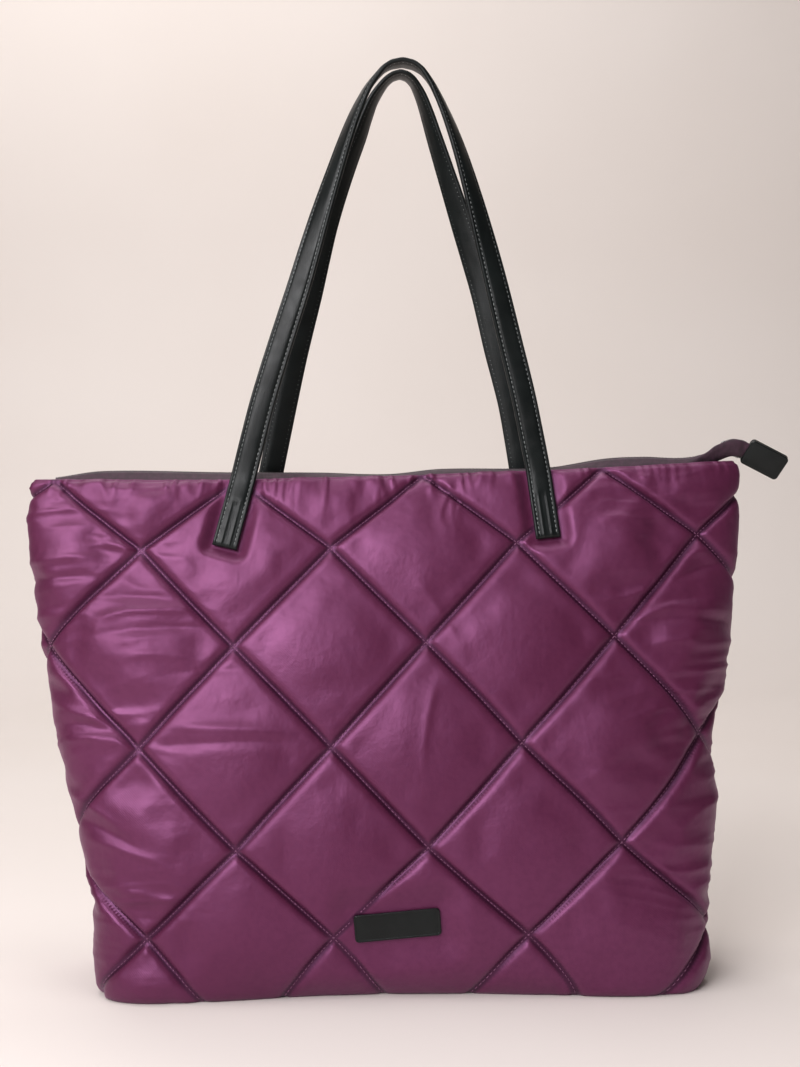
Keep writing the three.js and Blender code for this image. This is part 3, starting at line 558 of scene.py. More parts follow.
def gathers_relief(across, down_from_seam, seed):
    """Small puckers that hang below the top seam, longer in some places than in others."""
    x, down = np.meshgrid(across, down_from_seam)
    drift = field_noise(x / (16 * MM) + 20, down / (14 * MM), seed) * GATHER_DRIFT
    along = (x + drift) / GATHER_PITCH + 50
    pucker = crest(field_noise(along, down / GATHER_CHANGE, seed + 1), 1.3)
    varied = np.clip(waves(across, seed + 1, GATHER_CHANGE) + 0.2, 0, 1)
    longer = GATHER_SHORTEST + GATHER_LONGER * varied
    calm = 1 - GATHER_CALM * smoothstep(GATHER_CALM_FROM, GATHER_CALM_FULL, across / HALF_TOP)
    fade = np.exp(-((down / longer[None, :]) ** 1.5))
    return GATHER_RISE * (pucker - 0.5) * calm[None, :] * fade


def panel_wall(grid):
    """Middle of a panel's wall, and outward normals that turn smoothly from the front to the base."""
    middle = wall_grid(grid.shares, grid.heights)
    normals = grid_normals(middle)
    normals[grid.heights <= 0] = (0, 0, -1)
    roll = np.abs(grid.heights) < BASE_ROLL
    soft = unit(blurred(normals, ROLL_BLURS, 0))
    normals[roll] = soft[roll]
    normals[:, [0, -1], 1] = 0
    return middle, unit(normals)


def fill_lift(grid, full, from_side):
    """Height of the fill: shallow channels near the base, and less of it along the panel's edges."""
    from_top = (SEAM_HEIGHT - grid.heights)[:, None]
    side_fill = fill_profile(from_side + CHANNEL) ** SIDE_FILL_POWER
    top_fill = fill_profile(from_top + CHANNEL) ** TOP_FILL_POWER
    shallow = (1 - smoothstep(SHALLOW_LOW, SHALLOW_HIGH, grid.heights))[:, None]
    return PUFF * (full + SHALLOW_FILL * (1 - full) * shallow) * (side_fill * top_fill)


def fill_wobble(u, v, seed):
    """Slow uneven share of the fill, from one diamond to the next."""
    shift_u, length_u = WOBBLE_ACROSS
    shift_v, length_v = WOBBLE_DOWN
    return waves(u + shift_u, seed + 5, length_u) * waves(v + shift_v, seed + 6, length_v)


def fabric_relief(grid, nearest, from_side, seed, mirrored):
    """Folds of the slack fabric between the quilt lines, and the gathers under the top seam."""
    folds = folds_relief(grid.across, grid.heights, FRONT_FOLDS, mirrored)
    gathers = gathers_relief(grid.across, SEAM_HEIGHT - grid.heights, seed)
    tension = tension_relief(grid.across, grid.heights, seed + TENSION_SEED)
    loose = smoothstep(FOLDS_FROM_LINE, FOLDS_FULL, nearest)
    return (folds + tension) * loose + gathers * smoothstep(0, GATHERS_FROM_SIDE, from_side)


def formula_surface(grid, places, seed, mirrored):
    """Outer face of a panel before its fabric is simulated, and the fill's height and the painted shade
    of the quilt channels as 0 to 1."""
    middle, normals = panel_wall(grid)
    u, v = np.meshgrid(grid.u, grid.v)
    rising, falling = line_distances(u, v)
    nearest = np.minimum(rising, falling)
    full = fill_profile(rising) * fill_profile(falling)
    from_side = (1 - np.abs(grid.shares)[None, :]) * abs(grid.across[0])
    free = 1 - sewn_mask(middle, places, SEWN_MARGIN)
    lift = fill_lift(grid, full, from_side) * free
    lift = lift * (1 + WOBBLE * fill_wobble(u, v, seed))
    lift += fabric_relief(grid, nearest, from_side, seed, mirrored) * free
    on_base = (1 - smoothstep(BASE_FADE_LOW, BASE_FADE_HIGH, grid.heights))[:, None]
    lift = lift * (1 - on_base) - BASE_SINK * (1 - full) * on_base
    outer = middle + normals * (WALL / 2 + lift)[..., None]
    # Painted shade: how far the colour darkens along the quilt channels, where shade falls
    channel = np.exp(-((nearest / CHANNEL_SHADE) ** CHANNEL_POWER))
    return middle, normals, outer, full * free, channel


def mesh_object(name, vertices, faces, uv=None):
    """Smoothly shaded mesh in the scene. Its UV places are in metres of fabric."""
    mesh = bpy.data.meshes.new(name)
    mesh.from_pydata([tuple(v) for v in np.asarray(vertices)], [], [tuple(f) for f in faces])
    mesh.update()
    if uv is not None:
        layer = mesh.uv_layers.new(name="cloth")
        index = np.empty(len(mesh.loops), int)
        mesh.loops.foreach_get("vertex_index", index)
        layer.data.foreach_set("uv", np.asarray(uv)[index].astype(np.float32).ravel())
    mesh.polygons.foreach_set("use_smooth", np.ones(len(mesh.polygons), bool))
    obj = bpy.data.objects.new(name, mesh)
    bpy.context.collection.objects.link(obj)
    return obj


def ring_faces(count, sides, closed=False):
    """Faces between rings of points. They run round to the first ring, or end in a face at either end."""
    faces = []
    for j in range(count if closed else count - 1):
        low, high = j * sides, (j + 1) % count * sides
        for i in range(sides):
            k = (i + 1) % sides
            faces.append((low + i, low + k, high + k, high + i))
    if not closed:
        faces.append(tuple(range(sides))[::-1])
        faces.append(tuple((count - 1) * sides + i for i in range(sides)))
    return faces


# Fabric simulation, and where its points are held: near the quilt lines, on the base and at sewn pieces
CLOTH_FRAMES = 30
CLOTH_SETTINGS = {
    "quality": 6,
    "mass": 0.12,
    "tension_stiffness": 20,
    "compression_stiffness": 20,
    "shear_stiffness": 6,
    "bending_stiffness": 1.2,
    "air_damping": 3,
    "use_pressure": True,
    "uniform_pressure_force": 2.0,
}
MOVE_LIMIT = 6 * MM
SIDE_SLACK = 0.035
MIDDLE_SLACK = 0.006
PINNED_FROM_LINE = 3.2 * MM
PINNED_ABOVE_BASE = 2 * MM
PINNED_MARGIN = 1 * MM
PINNED_REACH = 0.5
PINNED_SHARE = 0.3
SLACK_FROM = 0.45
SLACK_FULL = 0.75


def grid_faces(rows, columns):
    return [
        (j * columns + i, j * columns + i + 1, (j + 1) * columns + i + 1, (j + 1) * columns + i)
        for j in range(rows - 1)
        for i in range(columns - 1)
    ]


def weight_group(obj, name, weights):
    group = obj.vertex_groups.new(name=name)
    for index, weight in enumerate(weights.ravel()):
        group.add([index], float(weight), "REPLACE")


def cloth_modifier(obj):
    """Padded fabric: sewn points stay, and the fabric is longer than its place towards the sides."""
    modifier = obj.modifiers.new("Cloth", "CLOTH")
    cloth = modifier.settings
    cloth.vertex_group_shrink = "taut"
    cloth.shrink_min = -SIDE_SLACK
    cloth.shrink_max = -MIDDLE_SLACK
    for name, value in CLOTH_SETTINGS.items():
        setattr(cloth, name, value)
    cloth.vertex_group_mass = "sewn"
    cloth.effector_weights.gravity = 0
    modifier.collision_settings.use_collision = False
    modifier.collision_settings.use_self_collision = False
    modifier.point_cache.frame_start = 1
    modifier.point_cache.frame_end = CLOTH_FRAMES


def simulate_fabric(outer, pinned, taut):
    """Moves of the grid's points when padding swells behind fabric that is longer than its place."""
    obj = mesh_object("fabric_sim", outer.reshape(-1, 3), grid_faces(*outer.shape[:2]))
    weight_group(obj, "sewn", pinned)
    weight_group(obj, "taut", taut)
    cloth_modifier(obj)
    scene = bpy.context.scene
    for number in range(1, CLOTH_FRAMES + 1):
        scene.frame_set(number)
    shape = obj.evaluated_get(bpy.context.evaluated_depsgraph_get()).to_mesh()
    moved = np.empty(len(shape.vertices) * 3)
    shape.vertices.foreach_get("co", moved)
    move = moved.reshape(outer.shape) - outer
    scene.frame_set(1)
    bpy.data.objects.remove(obj, do_unlink=True)
    length = np.linalg.norm(move, axis=-1, keepdims=True)
    return move * np.minimum(1, MOVE_LIMIT / np.maximum(length, 1e-9))


def resampled(field, places, axis):
    """Smooth values of a grid between its points, along one axis."""
    field = np.moveaxis(field, axis, 0)
    last = len(field) - 1
    i = np.clip(np.floor(places).astype(int), 0, last - 1)
    t = np.clip(places - i, 0, 1).reshape((-1,) + (1,) * (field.ndim - 1))
    a, b = field[np.maximum(i - 1, 0)], field[i]
    c, d = field[i + 1], field[np.minimum(i + 2, last)]
    value = b + 0.5 * t * (c - a + t * (2 * a - 5 * b + 4 * c - d + t * (3 * (b - c) + d - a)))
    return np.moveaxis(value, 0, axis)


def fabric_moves(grid, outer, places):
    """Moves of the fine grid's points, from a simulation on every third of them."""
    columns = np.unique(np.r_[0, np.arange(1, len(grid.ks) - 1, SIM_EVERY), len(grid.ks) - 1])
    rows = np.unique(np.r_[0, np.arange(1, len(grid.js) - 1, SIM_EVERY), len(grid.js) - 1])
    coarse = outer[np.ix_(rows, columns)]
    u, v = np.meshgrid(grid.u[columns], grid.v[rows])
    rising, falling = line_distances(u, v)
    pinned = (np.minimum(rising, falling) < PINNED_FROM_LINE).astype(float)
    pinned[sewn_mask(coarse, places, PINNED_MARGIN, PINNED_REACH) > PINNED_SHARE] = 1
    pinned[grid.heights[rows] < PINNED_ABOVE_BASE] = 1
    pinned[[0, -1], :] = 1
    pinned[:, [0, -1]] = 1
    middle = 1 - smoothstep(SLACK_FROM, SLACK_FULL, np.abs(grid.shares[columns]))
    move = simulate_fabric(coarse, pinned, np.broadcast_to(middle, coarse.shape[:2]))
    move = blurred(blurred(move, 1, 0), 1, 1)
    row_places = np.interp(np.arange(len(grid.js)), rows, np.arange(len(rows)))
    column_places = np.interp(np.arange(len(grid.ks)), columns, np.arange(len(columns)))
    return resampled(resampled(move, row_places, 0), column_places, 1)


INNER_PUFF = 1.5 * MM


class Panel:
    """One quilted panel: its grid, its outer face, and the fill's height."""

    def __init__(self, places, mirrored, seed):
        self.grid = PanelGrid(STEPS)
        self.mirrored = mirrored
        surface = formula_surface(self.grid, places, seed, mirrored)
        middle, self.normals, outer, full, self.channel = surface
        outer = outer + fabric_moves(self.grid, outer, places)
        outer[..., 1] = np.minimum(outer[..., 1], -GAP / 2)
        outer[..., 2] = np.maximum(outer[..., 2], 0)
        inner = middle - self.normals * (WALL / 2 + INNER_PUFF * full)[..., None]
        inner[..., 1] = np.minimum(inner[..., 1], -GAP / 2)
        flat = middle - self.normals * WALL / 2
        inner[[0, -1]] = flat[[0, -1]]
        inner[:, [0, -1]] = flat[:, [0, -1]]
        inner[:, [0, -1], 1] = -GAP / 2
        self.outer, self.inner = outer, inner
        if mirrored:
            for field in (self.outer, self.inner, self.normals):
                field[..., 1] *= -1
        self.outer[0, :, 1] += BASE_SEAM_SHIFT
        self.inner[0, :, 1] += BASE_SEAM_SHIFT

    def sample(self, u, v):
        """Point of the outer face and its normal at a place in quilt half pitches."""
        i = u * self.grid.steps - self.grid.ks[0]
        j = self.grid.js[0] - v * self.grid.steps
        i = np.clip(i, 0, len(self.grid.ks) - 1.001)
        j = np.clip(j, 0, len(self.grid.js) - 1.001)
        i0, j0 = i.astype(int), j.astype(int)
        ti, tj = (i - i0)[:, None], (j - j0)[:, None]

        def mixed(field):
            low = field[j0, i0] * (1 - ti) + field[j0, i0 + 1] * ti
            high = field[j0 + 1, i0] * (1 - ti) + field[j0 + 1, i0 + 1] * ti
            return low * (1 - tj) + high * tj

        return mixed(self.outer), unit(mixed(self.normals))


RIM_ANGLES = (math.pi / 4, math.pi / 2, math.pi * 3 / 4)


def outer_faces(grid, rows, columns):
    """Triangles of the fine face, whose edges follow the quilt lines."""
    faces = []
    for j in range(rows - 1):
        up = min(j, len(grid.js) - 2)
        for i in range(columns - 1):
            a, b = j * columns + i, j * columns + i + 1
            c, d = b + columns, a + columns
            if (grid.ks[i] - grid.js[up + 1]) % 2 == 0:
                faces += [(a, b, c), (a, c, d)]
            else:
                faces += [(a, b, d), (b, c, d)]
    return faces


def inner_faces(inner_rows, inner_columns, rows, columns):
    """Faces of the coarse inner face, and those that join its four edges to the fine face."""
    tall, wide = len(inner_rows), len(inner_columns)
    at = rows * columns + np.arange(tall * wide).reshape(tall, wide)
    faces = []
    for j in range(tall - 1):
        for i in range(wide - 1):
            faces.append((at[j, i + 1], at[j, i], at[j + 1, i], at[j + 1, i + 1]))
    for i in range(wide - 1):
        fine = np.arange(inner_columns[i], inner_columns[i + 1] + 1)
        faces.append((*fine[::-1], at[0, i], at[0, i + 1]))
        faces.append((*(fine + (rows - 1) * columns), at[-1, i + 1], at[-1, i]))
    for j in range(tall - 1):
        end = rows - 1 if j == tall - 2 else inner_rows[j + 1]
        fine = np.arange(inner_rows[j], end + 1) * columns
        faces.append((*fine, at[j + 1, 0], at[j, 0]))
        faces.append((*(fine + columns - 1)[::-1], at[j, -1], at[j + 1, -1]))
    return faces


def panel_mesh(name, panel):
    """Closed mesh of a panel: the fine outer face, a rounded rim at the top and a coarser inner face."""
    grid = panel.grid
    columns = len(grid.ks)
    top, inside = panel.outer[-1], panel.inner[-1]
    middle = (top + inside) / 2
    high = np.array([0, 0, WALL / 2])
    rim = [middle + (top - middle) * math.cos(a) + high * math.sin(a) for a in RIM_ANGLES]
    outer = np.concatenate([panel.outer, rim])
    rows = len(outer)
    rim_heights = [grid.heights[-1] + WALL] * len(rim)
    across, heights = np.meshgrid(grid.across, np.r_[grid.heights, rim_heights])
    inner_rows = np.unique(np.r_[np.arange(0, len(grid.js) - 1, INNER_EVERY), len(grid.js) - 1])
    inner_columns = np.unique(np.r_[np.arange(0, columns - 1, INNER_EVERY), columns - 1])
    inner = panel.inner[np.ix_(inner_rows, inner_columns)].reshape(-1, 3)
    faces = outer_faces(grid, rows, columns) + inner_faces(inner_rows, inner_columns, rows, columns)
    if panel.mirrored:
        faces = [face[::-1] for face in faces]
    uv = np.stack([across, heights], axis=-1).reshape(-1, 2)
    uv = np.concatenate([uv, np.zeros((len(inner), 2))])
    obj = mesh_object(name, np.concatenate([outer.reshape(-1, 3), inner]), faces, uv)
    # The quilt channels' painted shade goes to the material as a point attribute
    shade = np.concatenate([panel.channel, panel.channel[-1:].repeat(len(rim), 0)]).ravel()
    shade = np.concatenate([shade, np.zeros(len(inner))]).astype(np.float32)
    obj.data.attributes.new("channel", "FLOAT", "POINT").data.foreach_set("value", shade)
    return obj


STITCH_SIDES = 5
STITCH_RINGS = ((0.0, 0.0, -0.9), (0.14, 0.8, -0.2), (0.5, 1.0, 0.55), (0.86, 0.8, -0.2), (1.0, 0.0, -0.9))


def stitches_mesh(name, starts, ends, normals, radius):
    """Short lengths of thread that dip into the surface at both ends."""
    along = ends - starts
    side = unit(np.cross(along, normals))
    vertices = []
    for share, thick, lift in STITCH_RINGS:
        centre = starts + along * share + normals * lift * radius
        angles = [0.0] if thick == 0 else np.arange(STITCH_SIDES) * 2 * math.pi / STITCH_SIDES
        for angle in angles:
            out = side * math.cos(angle) + normals * math.sin(angle)
            vertices.append(centre + out * radius * thick)
    count = len(vertices)
    vertices = np.stack(vertices, axis=1).reshape(-1, 3)
    n = STITCH_SIDES
    template = [(0, 1 + k, 1 + (k + 1) % n) for k in range(n)]
    for ring in range(2):
        low = 1 + ring * n
        for k in range(n):
            k2 = (k + 1) % n
            template.append((low + k, low + n + k, low + n + k2, low + k2))
    low = 1 + 2 * n
    template += [(low + k, low + n, low + (k + 1) % n) for k in range(n)]
    faces = [tuple(v + i * count for v in face) for i in range(len(starts)) for face in template]
    return mesh_object(name, vertices, faces)


QUILT_STITCH_PITCH = 2.9 * MM
QUILT_STITCH_LENGTH = 2.1 * MM
QUILT_THREAD = 0.33 * MM
QUILT_THREAD_LIFT = 0.4
QUILT_LINE_NUMBERS = range(-6, 8)
STITCH_ROOM = 0.04
STITCH_ROOM_BELOW = 0.06
COVERED_REACH = 0.1
LOWEST_STITCH = 1 * MM


def quilt_stitches(name, panel, places):
    """The running stitch along every quilt line of a panel."""
    grid = panel.grid
    per_row = math.hypot(QUILT_HALF_WIDTH, QUILT_HALF_HEIGHT)
    us, vs, directions = [], [], []
    for direction in (-1, 1):
        for number in QUILT_LINE_NUMBERS:
            v = np.arange(STITCH_ROOM, grid.v[0] - STITCH_ROOM_BELOW, QUILT_STITCH_PITCH / per_row)
            u = 2 * number + direction * v
            keep = (u > grid.u[0] + STITCH_ROOM) & (u < grid.u[-1] - STITCH_ROOM)
            us.append(u[keep])
            vs.append(v[keep])
            directions.append(np.full(keep.sum(), direction))
    u, v, direction = (np.concatenate(a) for a in (us, vs, directions))
    starts, normals = panel.sample(u, v)
    step = QUILT_STITCH_LENGTH / per_row
    ends, _ = panel.sample(u + direction * step, v + step)
    covered = sewn_mask(starts[None], places, SEWN_MARGIN, COVERED_REACH)[0] > 0.5
    wild = np.linalg.norm(ends - starts, axis=1) > 2 * QUILT_STITCH_LENGTH
    keep = ~covered & ~wild & (starts[:, 2] > LOWEST_STITCH)
    lift = normals[keep] * QUILT_THREAD * QUILT_THREAD_LIFT
    return stitches_mesh(name, starts[keep] + lift, ends[keep] + lift, normals[keep], QUILT_THREAD)


DENSE_STEPS = 60
TAB_STATIONS = 4


def catmull(points, count):
    """Even samples of a smooth line through points, with the place of each among the points."""
    points = np.asarray(points)
    dense = np.linspace(0, len(points) - 1, DENSE_STEPS * len(points))
    line = resampled(points, dense, 0)
    lengths = np.concatenate([[0], np.cumsum(np.linalg.norm(np.diff(line, axis=0), axis=1))])
    at = np.interp(np.linspace(0, lengths[-1], count), lengths, dense)
    return resampled(points, at, 0), at, lengths[-1]


def leg_stations(leg):
    """Middle, front direction, turn and thickness of the strap from a sewn end up towards the apex."""
    bottom, top = tab_ends(leg)
    rows = []
    for t in np.linspace(0, 1, TAB_STATIONS):
        x = bottom[0] + (top[0] - bottom[0]) * t
        z = bottom[1] + (top[1] - bottom[1]) * t
        point, normal = wall_point(x, z)
        thickness = TAB_THICKNESS if z < bottom[1] + TAB_LENGTH else STRAP_THICKNESS
        rows.append((point + normal * (WALL / 2 + SEWN_LIFT + thickness / 2), normal, 0.0, thickness))
    start = rows[-1][0]
    rises = [row[0] for row in HANDLE_LINE]
    between_rows = [(low + high) / 2 for low, high in zip(rises, rises[1:])]
    for rise in sorted(rises[1:-1] + between_rows):
        x = float(HANDLE[leg](rise)) * TAB_SPACING / 2
        y = start[1] + (-APEX_FORWARD - start[1]) * rise
        z = start[2] + (SEAM_HEIGHT + HANDLE_RISE - start[2]) * rise
        turn = float(HANDLE["turn"](rise)) * math.pi / 2
        rows.append((np.array([x, y, z]), np.array([0.0, -1, 0]), turn, STRAP_THICKNESS))
    return rows


def handle_stations(legs):
    apex_x = HANDLE_LINE[-1][1] * TAB_SPACING / 2
    apex_point = np.array([apex_x, -APEX_FORWARD, SEAM_HEIGHT + HANDLE_RISE])
    apex = (apex_point, np.array([0.0, -1, 0]), math.pi / 2, STRAP_THICKNESS)
    return leg_stations(legs[0]) + [apex] + leg_stations(legs[1])[::-1]


def interpolated(at, places, field):
    """Points or directions of a line between its given places."""
    return np.stack([np.interp(at, places, field[:, k]) for k in range(3)], -1)


def strap_frames(legs, mirrored):
    """Middle line of a strap, its directions to the front and across, and its length."""
    stations = handle_stations(legs)
    numbers = range(len(stations))
    line, at, length = catmull([s[0] for s in stations], STRAP_RINGS)
    fronts = unit(interpolated(at, numbers, np.array([s[1] for s in stations])))
    turns = np.interp(at, numbers, [s[2] for s in stations])
    turns = blurred(turns[:, None], TURN_BLURS, 0)[:, 0]
    along = unit(np.gradient(line, axis=0))
    flat = unit(np.cross(along, fronts))
    facing = unit(np.cross(flat, along))
    normal = facing * np.cos(turns)[:, None] - flat * np.sin(turns)[:, None]
    across = unit(np.cross(along, normal))
    if mirrored:
        for field in (line, along, normal, across):
            field[:, 1] *= -1
    return line, normal, across, length


# Half the strap's section: shares of half its width, and the row of stitches in its groove
PROFILE_PLACES = (0, 0.08, 0.18, 0.28, 0.36, 0.44, 0.54, 0.62, 0.69, 0.76, 0.84, 0.91, 0.96, 0.99, 1)
ROW_ACROSS = 0.69
GROOVE_DEPTH = 0.16
GROOVE_WIDTH = 0.05
PAD_WIDTH = 0.68
PAD_LOW = 0.58
PAD_RISE = 0.42
MARGIN_HEIGHT = 0.62
RIM_WIDTH = 0.1
FLAT_HEIGHT = 0.78
RIDGE_HEIGHT = 0.3
RIDGE_PLACE = 0.32
RIDGE_WIDTH = 0.07
BACK_SHARE = 0.8
STRAP_RINGS = 420
TURN_BLURS = 20
SEWN_FADE = 3 * MM
END_ROUND = 1.2 * MM
STRAP_STITCH_PITCH = 3.1 * MM
STRAP_STITCH_LENGTH = 2.3 * MM
STRAP_THREAD = 0.3 * MM
STRAP_STITCH_ROOM = 2.5 * MM
STRAP_THREAD_LIFT = 0.3


def strap_profile(sewn):
    """Height of the strap's face across its width, as shares of half its thickness. sewn is 1 on the flat
    ends and 0 on the padded part."""
    u = np.array(PROFILE_PLACES, float)
    pad = PAD_LOW + PAD_RISE * np.sqrt(np.clip(1 - (u / PAD_WIDTH) ** 2.6, 0, 1))
    groove = GROOVE_DEPTH * np.exp(-(((u - ROW_ACROSS) / GROOVE_WIDTH) ** 2))
    from_rim = np.maximum(u - (1 - RIM_WIDTH), 0) / RIM_WIDTH
    rim = np.sqrt(np.clip(1 - from_rim**2, 0, 1))
    padded = np.where(u < PAD_WIDTH, pad, MARGIN_HEIGHT) * rim - groove
    ridges = RIDGE_HEIGHT * np.exp(-(((u - RIDGE_PLACE) / RIDGE_WIDTH) ** 2))
    flat = (FLAT_HEIGHT + ridges) * rim - groove
    return u, padded * (1 - sewn) + flat * sewn


def strap_ring(sewn, half, round_end):
    """Places across and heights of one ring of the strap, in metres, round from the front to the back."""
    u, height = strap_profile(sewn)
    front = np.concatenate([-u[::-1], u[1:]])
    tall = np.concatenate([height[::-1], height[1:]]) * round_end
    back = front[1:-1][::-1][::2]
    low = -np.interp(np.abs(back), u, height) * BACK_SHARE * round_end
    return np.concatenate([front, back]) * STRAP_WIDTH / 2, np.concatenate([tall, low]) * half


def handle(name, legs, mirrored):
    """Padded strap with flat sewn ends, as one closed mesh, and what its stitches follow."""
    line, normal, across, length = strap_frames(legs, mirrored)
    numbers = np.arange(STRAP_RINGS)
    from_end = np.minimum(numbers, numbers[::-1]) * length / (STRAP_RINGS - 1)
    sewn = 1 - smoothstep(TAB_LENGTH - SEWN_FADE, TAB_LENGTH + SEWN_FADE, from_end)
    half = (STRAP_THICKNESS + (TAB_THICKNESS - STRAP_THICKNESS) * sewn) / 2
    round_end = np.sqrt(np.clip(1 - (1 - np.clip(from_end / END_ROUND, 0, 1)) ** 2, 0.04, 1))
    rings = []
    for n in range(STRAP_RINGS):
        a, b = strap_ring(sewn[n], half[n], round_end[n])
        rings.append(line[n] + across[n] * a[:, None] + normal[n] * b[:, None])
    rings = np.array(rings)
    sides = rings.shape[1]
    faces = ring_faces(STRAP_RINGS, sides)
    if mirrored:
        faces = [face[::-1] for face in faces]
    reach = np.repeat(np.linspace(0, length, STRAP_RINGS), sides)
    around = np.tile(np.linspace(0, 2 * STRAP_WIDTH, sides), STRAP_RINGS)
    obj = mesh_object(name, rings.reshape(-1, 3), faces, np.stack([around, reach], -1))
    return obj, (line, normal, across, half, length, sewn)


def strap_stitches(name, frames):
    """Two rows of stitches on each face of a strap, along its whole length."""
    line, normal, across, half, length, sewn = frames
    last = length - STRAP_STITCH_ROOM - STRAP_STITCH_LENGTH
    places = np.arange(STRAP_STITCH_ROOM, last, STRAP_STITCH_PITCH)
    ahead = places + STRAP_STITCH_LENGTH
    grid = np.linspace(0, length, len(line))
    starts, ends, normals = [], [], []
    for face in (1, -1):
        low = np.interp(places, grid, half * (MARGIN_HEIGHT - GROOVE_DEPTH + GROOVE_DEPTH * sewn))
        low = low * (1 if face > 0 else BACK_SHARE)
        lift = (face * (low + STRAP_THREAD_LIFT * STRAP_THREAD))[:, None]
        for side in (-1, 1):
            shift = side * ROW_ACROSS * STRAP_WIDTH / 2
            for ends_of, where in ((starts, places), (ends, ahead)):
                point = interpolated(where, grid, line) + interpolated(where, grid, across) * shift
                ends_of.append(point + interpolated(where, grid, normal) * lift)
            normals.append(interpolated(places, grid, normal) * face)
    return stitches_mesh(name, *(np.concatenate(a) for a in (starts, ends, normals)), STRAP_THREAD)


# Zip
TAIL_BACKWARDS = np.array([0, math.cos(TAIL_ROLL), -math.sin(TAIL_ROLL)])
TAIL_FORWARD = np.array([0, -math.sin(TAIL_ROLL), -math.cos(TAIL_ROLL)])
FOLD_OVER = 3.7 * MM
FOLD_CLOSED = 0.72
FOLD_EDGE = 0.6 * MM
ROLL_START = -0.5
ROLL_END = 0.3
TUCK_CLEAR = 1 * MM
TUCK_FULL = 6 * MM
SEAM_END = TAIL_START * HALF_TOP


def tail_point(out):
    out = np.asarray(out, float)
    x = SEAM_END + out * END_TAB_LENGTH
    return np.stack([x, np.zeros_like(x), ridge_height(SEAM_END) + TAIL_UP(out) * END_TAB_LENGTH], -1)


def roll_share(out):
    return smoothstep(ROLL_START, ROLL_END, out)


def teeth_frames(x):
    """Middle of the teeth, and the directions across them to the back and up from them."""
    out = (x - SEAM_END) / END_TAB_LENGTH
    rolled = roll_share(out)[:, None]
    ridge = np.stack([x, np.zeros_like(x), ridge_height(np.minimum(x, SEAM_END))], -1)
    tail = tail_point(np.maximum(out, 0))
    tail[:, 0] = x
    middle = ridge * (1 - rolled) + tail * rolled
    across = unit(np.array([0.0, 1, 0]) * (1 - rolled) + TAIL_BACKWARDS * rolled)
    up = np.stack([np.zeros_like(x), -across[:, 2], across[:, 1]], -1)
    return middle, across, up, rolled


def tape_lines(x, side):
    """Edge by the teeth, bend and outer edge of the front tape (side -1) or the back tape (side 1). Along
    the tail the front tape is folded down over the slider's front."""
    middle, across, up, rolled = teeth_frames(x)
    clear = WALL / 2 + GAP + TAPE_THICKNESS / 2
    half = TEETH_WIDTH / 2 + GAP
    body_x = np.minimum(x, SEAM_END)
    plan_x, plan_y, _ = plan_curve(1.0)
    depth = -np.interp(body_x, plan_x, plan_y) - GATHER_DEPTH
    reach = np.maximum(depth - clear, half + TUCK_CLEAR)
    seam = seam_height(body_x)
    tuck = TAPE_TUCK * smoothstep(half + TUCK_CLEAR, half + TUCK_FULL, reach)
    bend = np.stack([x, side * reach, seam + TAPE_THICKNESS / 2], -1)
    edge = np.stack([x, side * reach, seam - tuck - GAP], -1)
    tail_bend = middle + TAIL_BACKWARDS * side * (half + TAIL_WIDTH / 2) / 2
    tail_edge = middle + TAIL_BACKWARDS * side * TAIL_WIDTH / 2
    if side < 0:
        out = (x - SEAM_END) / END_TAB_LENGTH
        closed = 1 - FOLD_CLOSED * smoothstep(0.8, 1.0, out)
        cover = FOLD_OVER * smoothstep(-0.4, 0.2, out) * closed
        forward = TAIL_FORWARD * cover[:, None]
        tail_bend = tail_edge + forward / 2
        tail_edge = middle + TAIL_BACKWARDS * (TAIL_WIDTH / 2 - FOLD_EDGE) + forward
    bend = bend * (1 - rolled) + tail_bend * rolled
    edge = edge * (1 - rolled) + tail_edge * rolled
    return middle + across * side * half, bend, edge, up


TAPE_RINGS = 330
TAPE_RIPPLE = 0.35 * MM


def ribbon(name, sections, uv=None):
    """Closed mesh through sections that all run the same way round."""
    sections = np.asarray(sections)
    return face_outwards(mesh_object(name, sections.reshape(-1, 3), ring_faces(*sections.shape[:2]), uv))


def face_outwards(obj):
    """Turns a closed mesh's faces to point out."""
    mesh = obj.data
    mesh.calc_loop_triangles()
    points = np.array([v.co for v in mesh.vertices])
    t = np.array([tri.vertices for tri in mesh.loop_triangles])
    volume = np.einsum("ij,ij->i", points[t[:, 0]], np.cross(points[t[:, 1]], points[t[:, 2]])).sum()
    if volume < 0:
        mesh.flip_normals()
    return obj


ZIP_START = -0.93 * HALF_TOP
TAIL_END = SEAM_END + (END_TAB_OUT + 0.12) * END_TAB_LENGTH


def zip_tape(name, side, seed):
    x = np.linspace(ZIP_START, TAIL_END, TAPE_RINGS)
    edge, bend, outer, up = tape_lines(x, side)
    shares = np.linspace(0, 1, 7)
    line = [edge * (1 - s) + bend * s for s in shares] + [bend * (1 - s) + outer * s for s in shares[2::2]]
    line = np.stack(line, axis=1)
    line = blurred(line, 1, 1) * 0.7 + line * 0.3
    line[:, 0], line[:, -1] = edge, outer
    direction = np.gradient(line, axis=1)
    direction[..., 0] = 0
    direction = unit(direction)
    thick = np.stack([np.zeros_like(direction[..., 0]), -direction[..., 2], direction[..., 1]], -1)
    thick[:, 0] = up * side
    along_ripple = (TAPE_RIPPLE * waves(x, seed, 9 * MM))[:, None]
    ripple = along_ripple * np.sin(np.linspace(0, math.pi, line.shape[1]))
    line = line + thick * ripple[..., None]
    over = line + thick * TAPE_THICKNESS / 2
    under = line - thick * TAPE_THICKNESS / 2
    sections = np.concatenate([over, under[:, ::-1]], axis=1)
    sides = sections.shape[1]
    uv = np.stack([np.repeat(x, sides), np.tile(np.linspace(0, 40 * MM, sides), len(x))], -1)
    return ribbon(name, sections, uv)


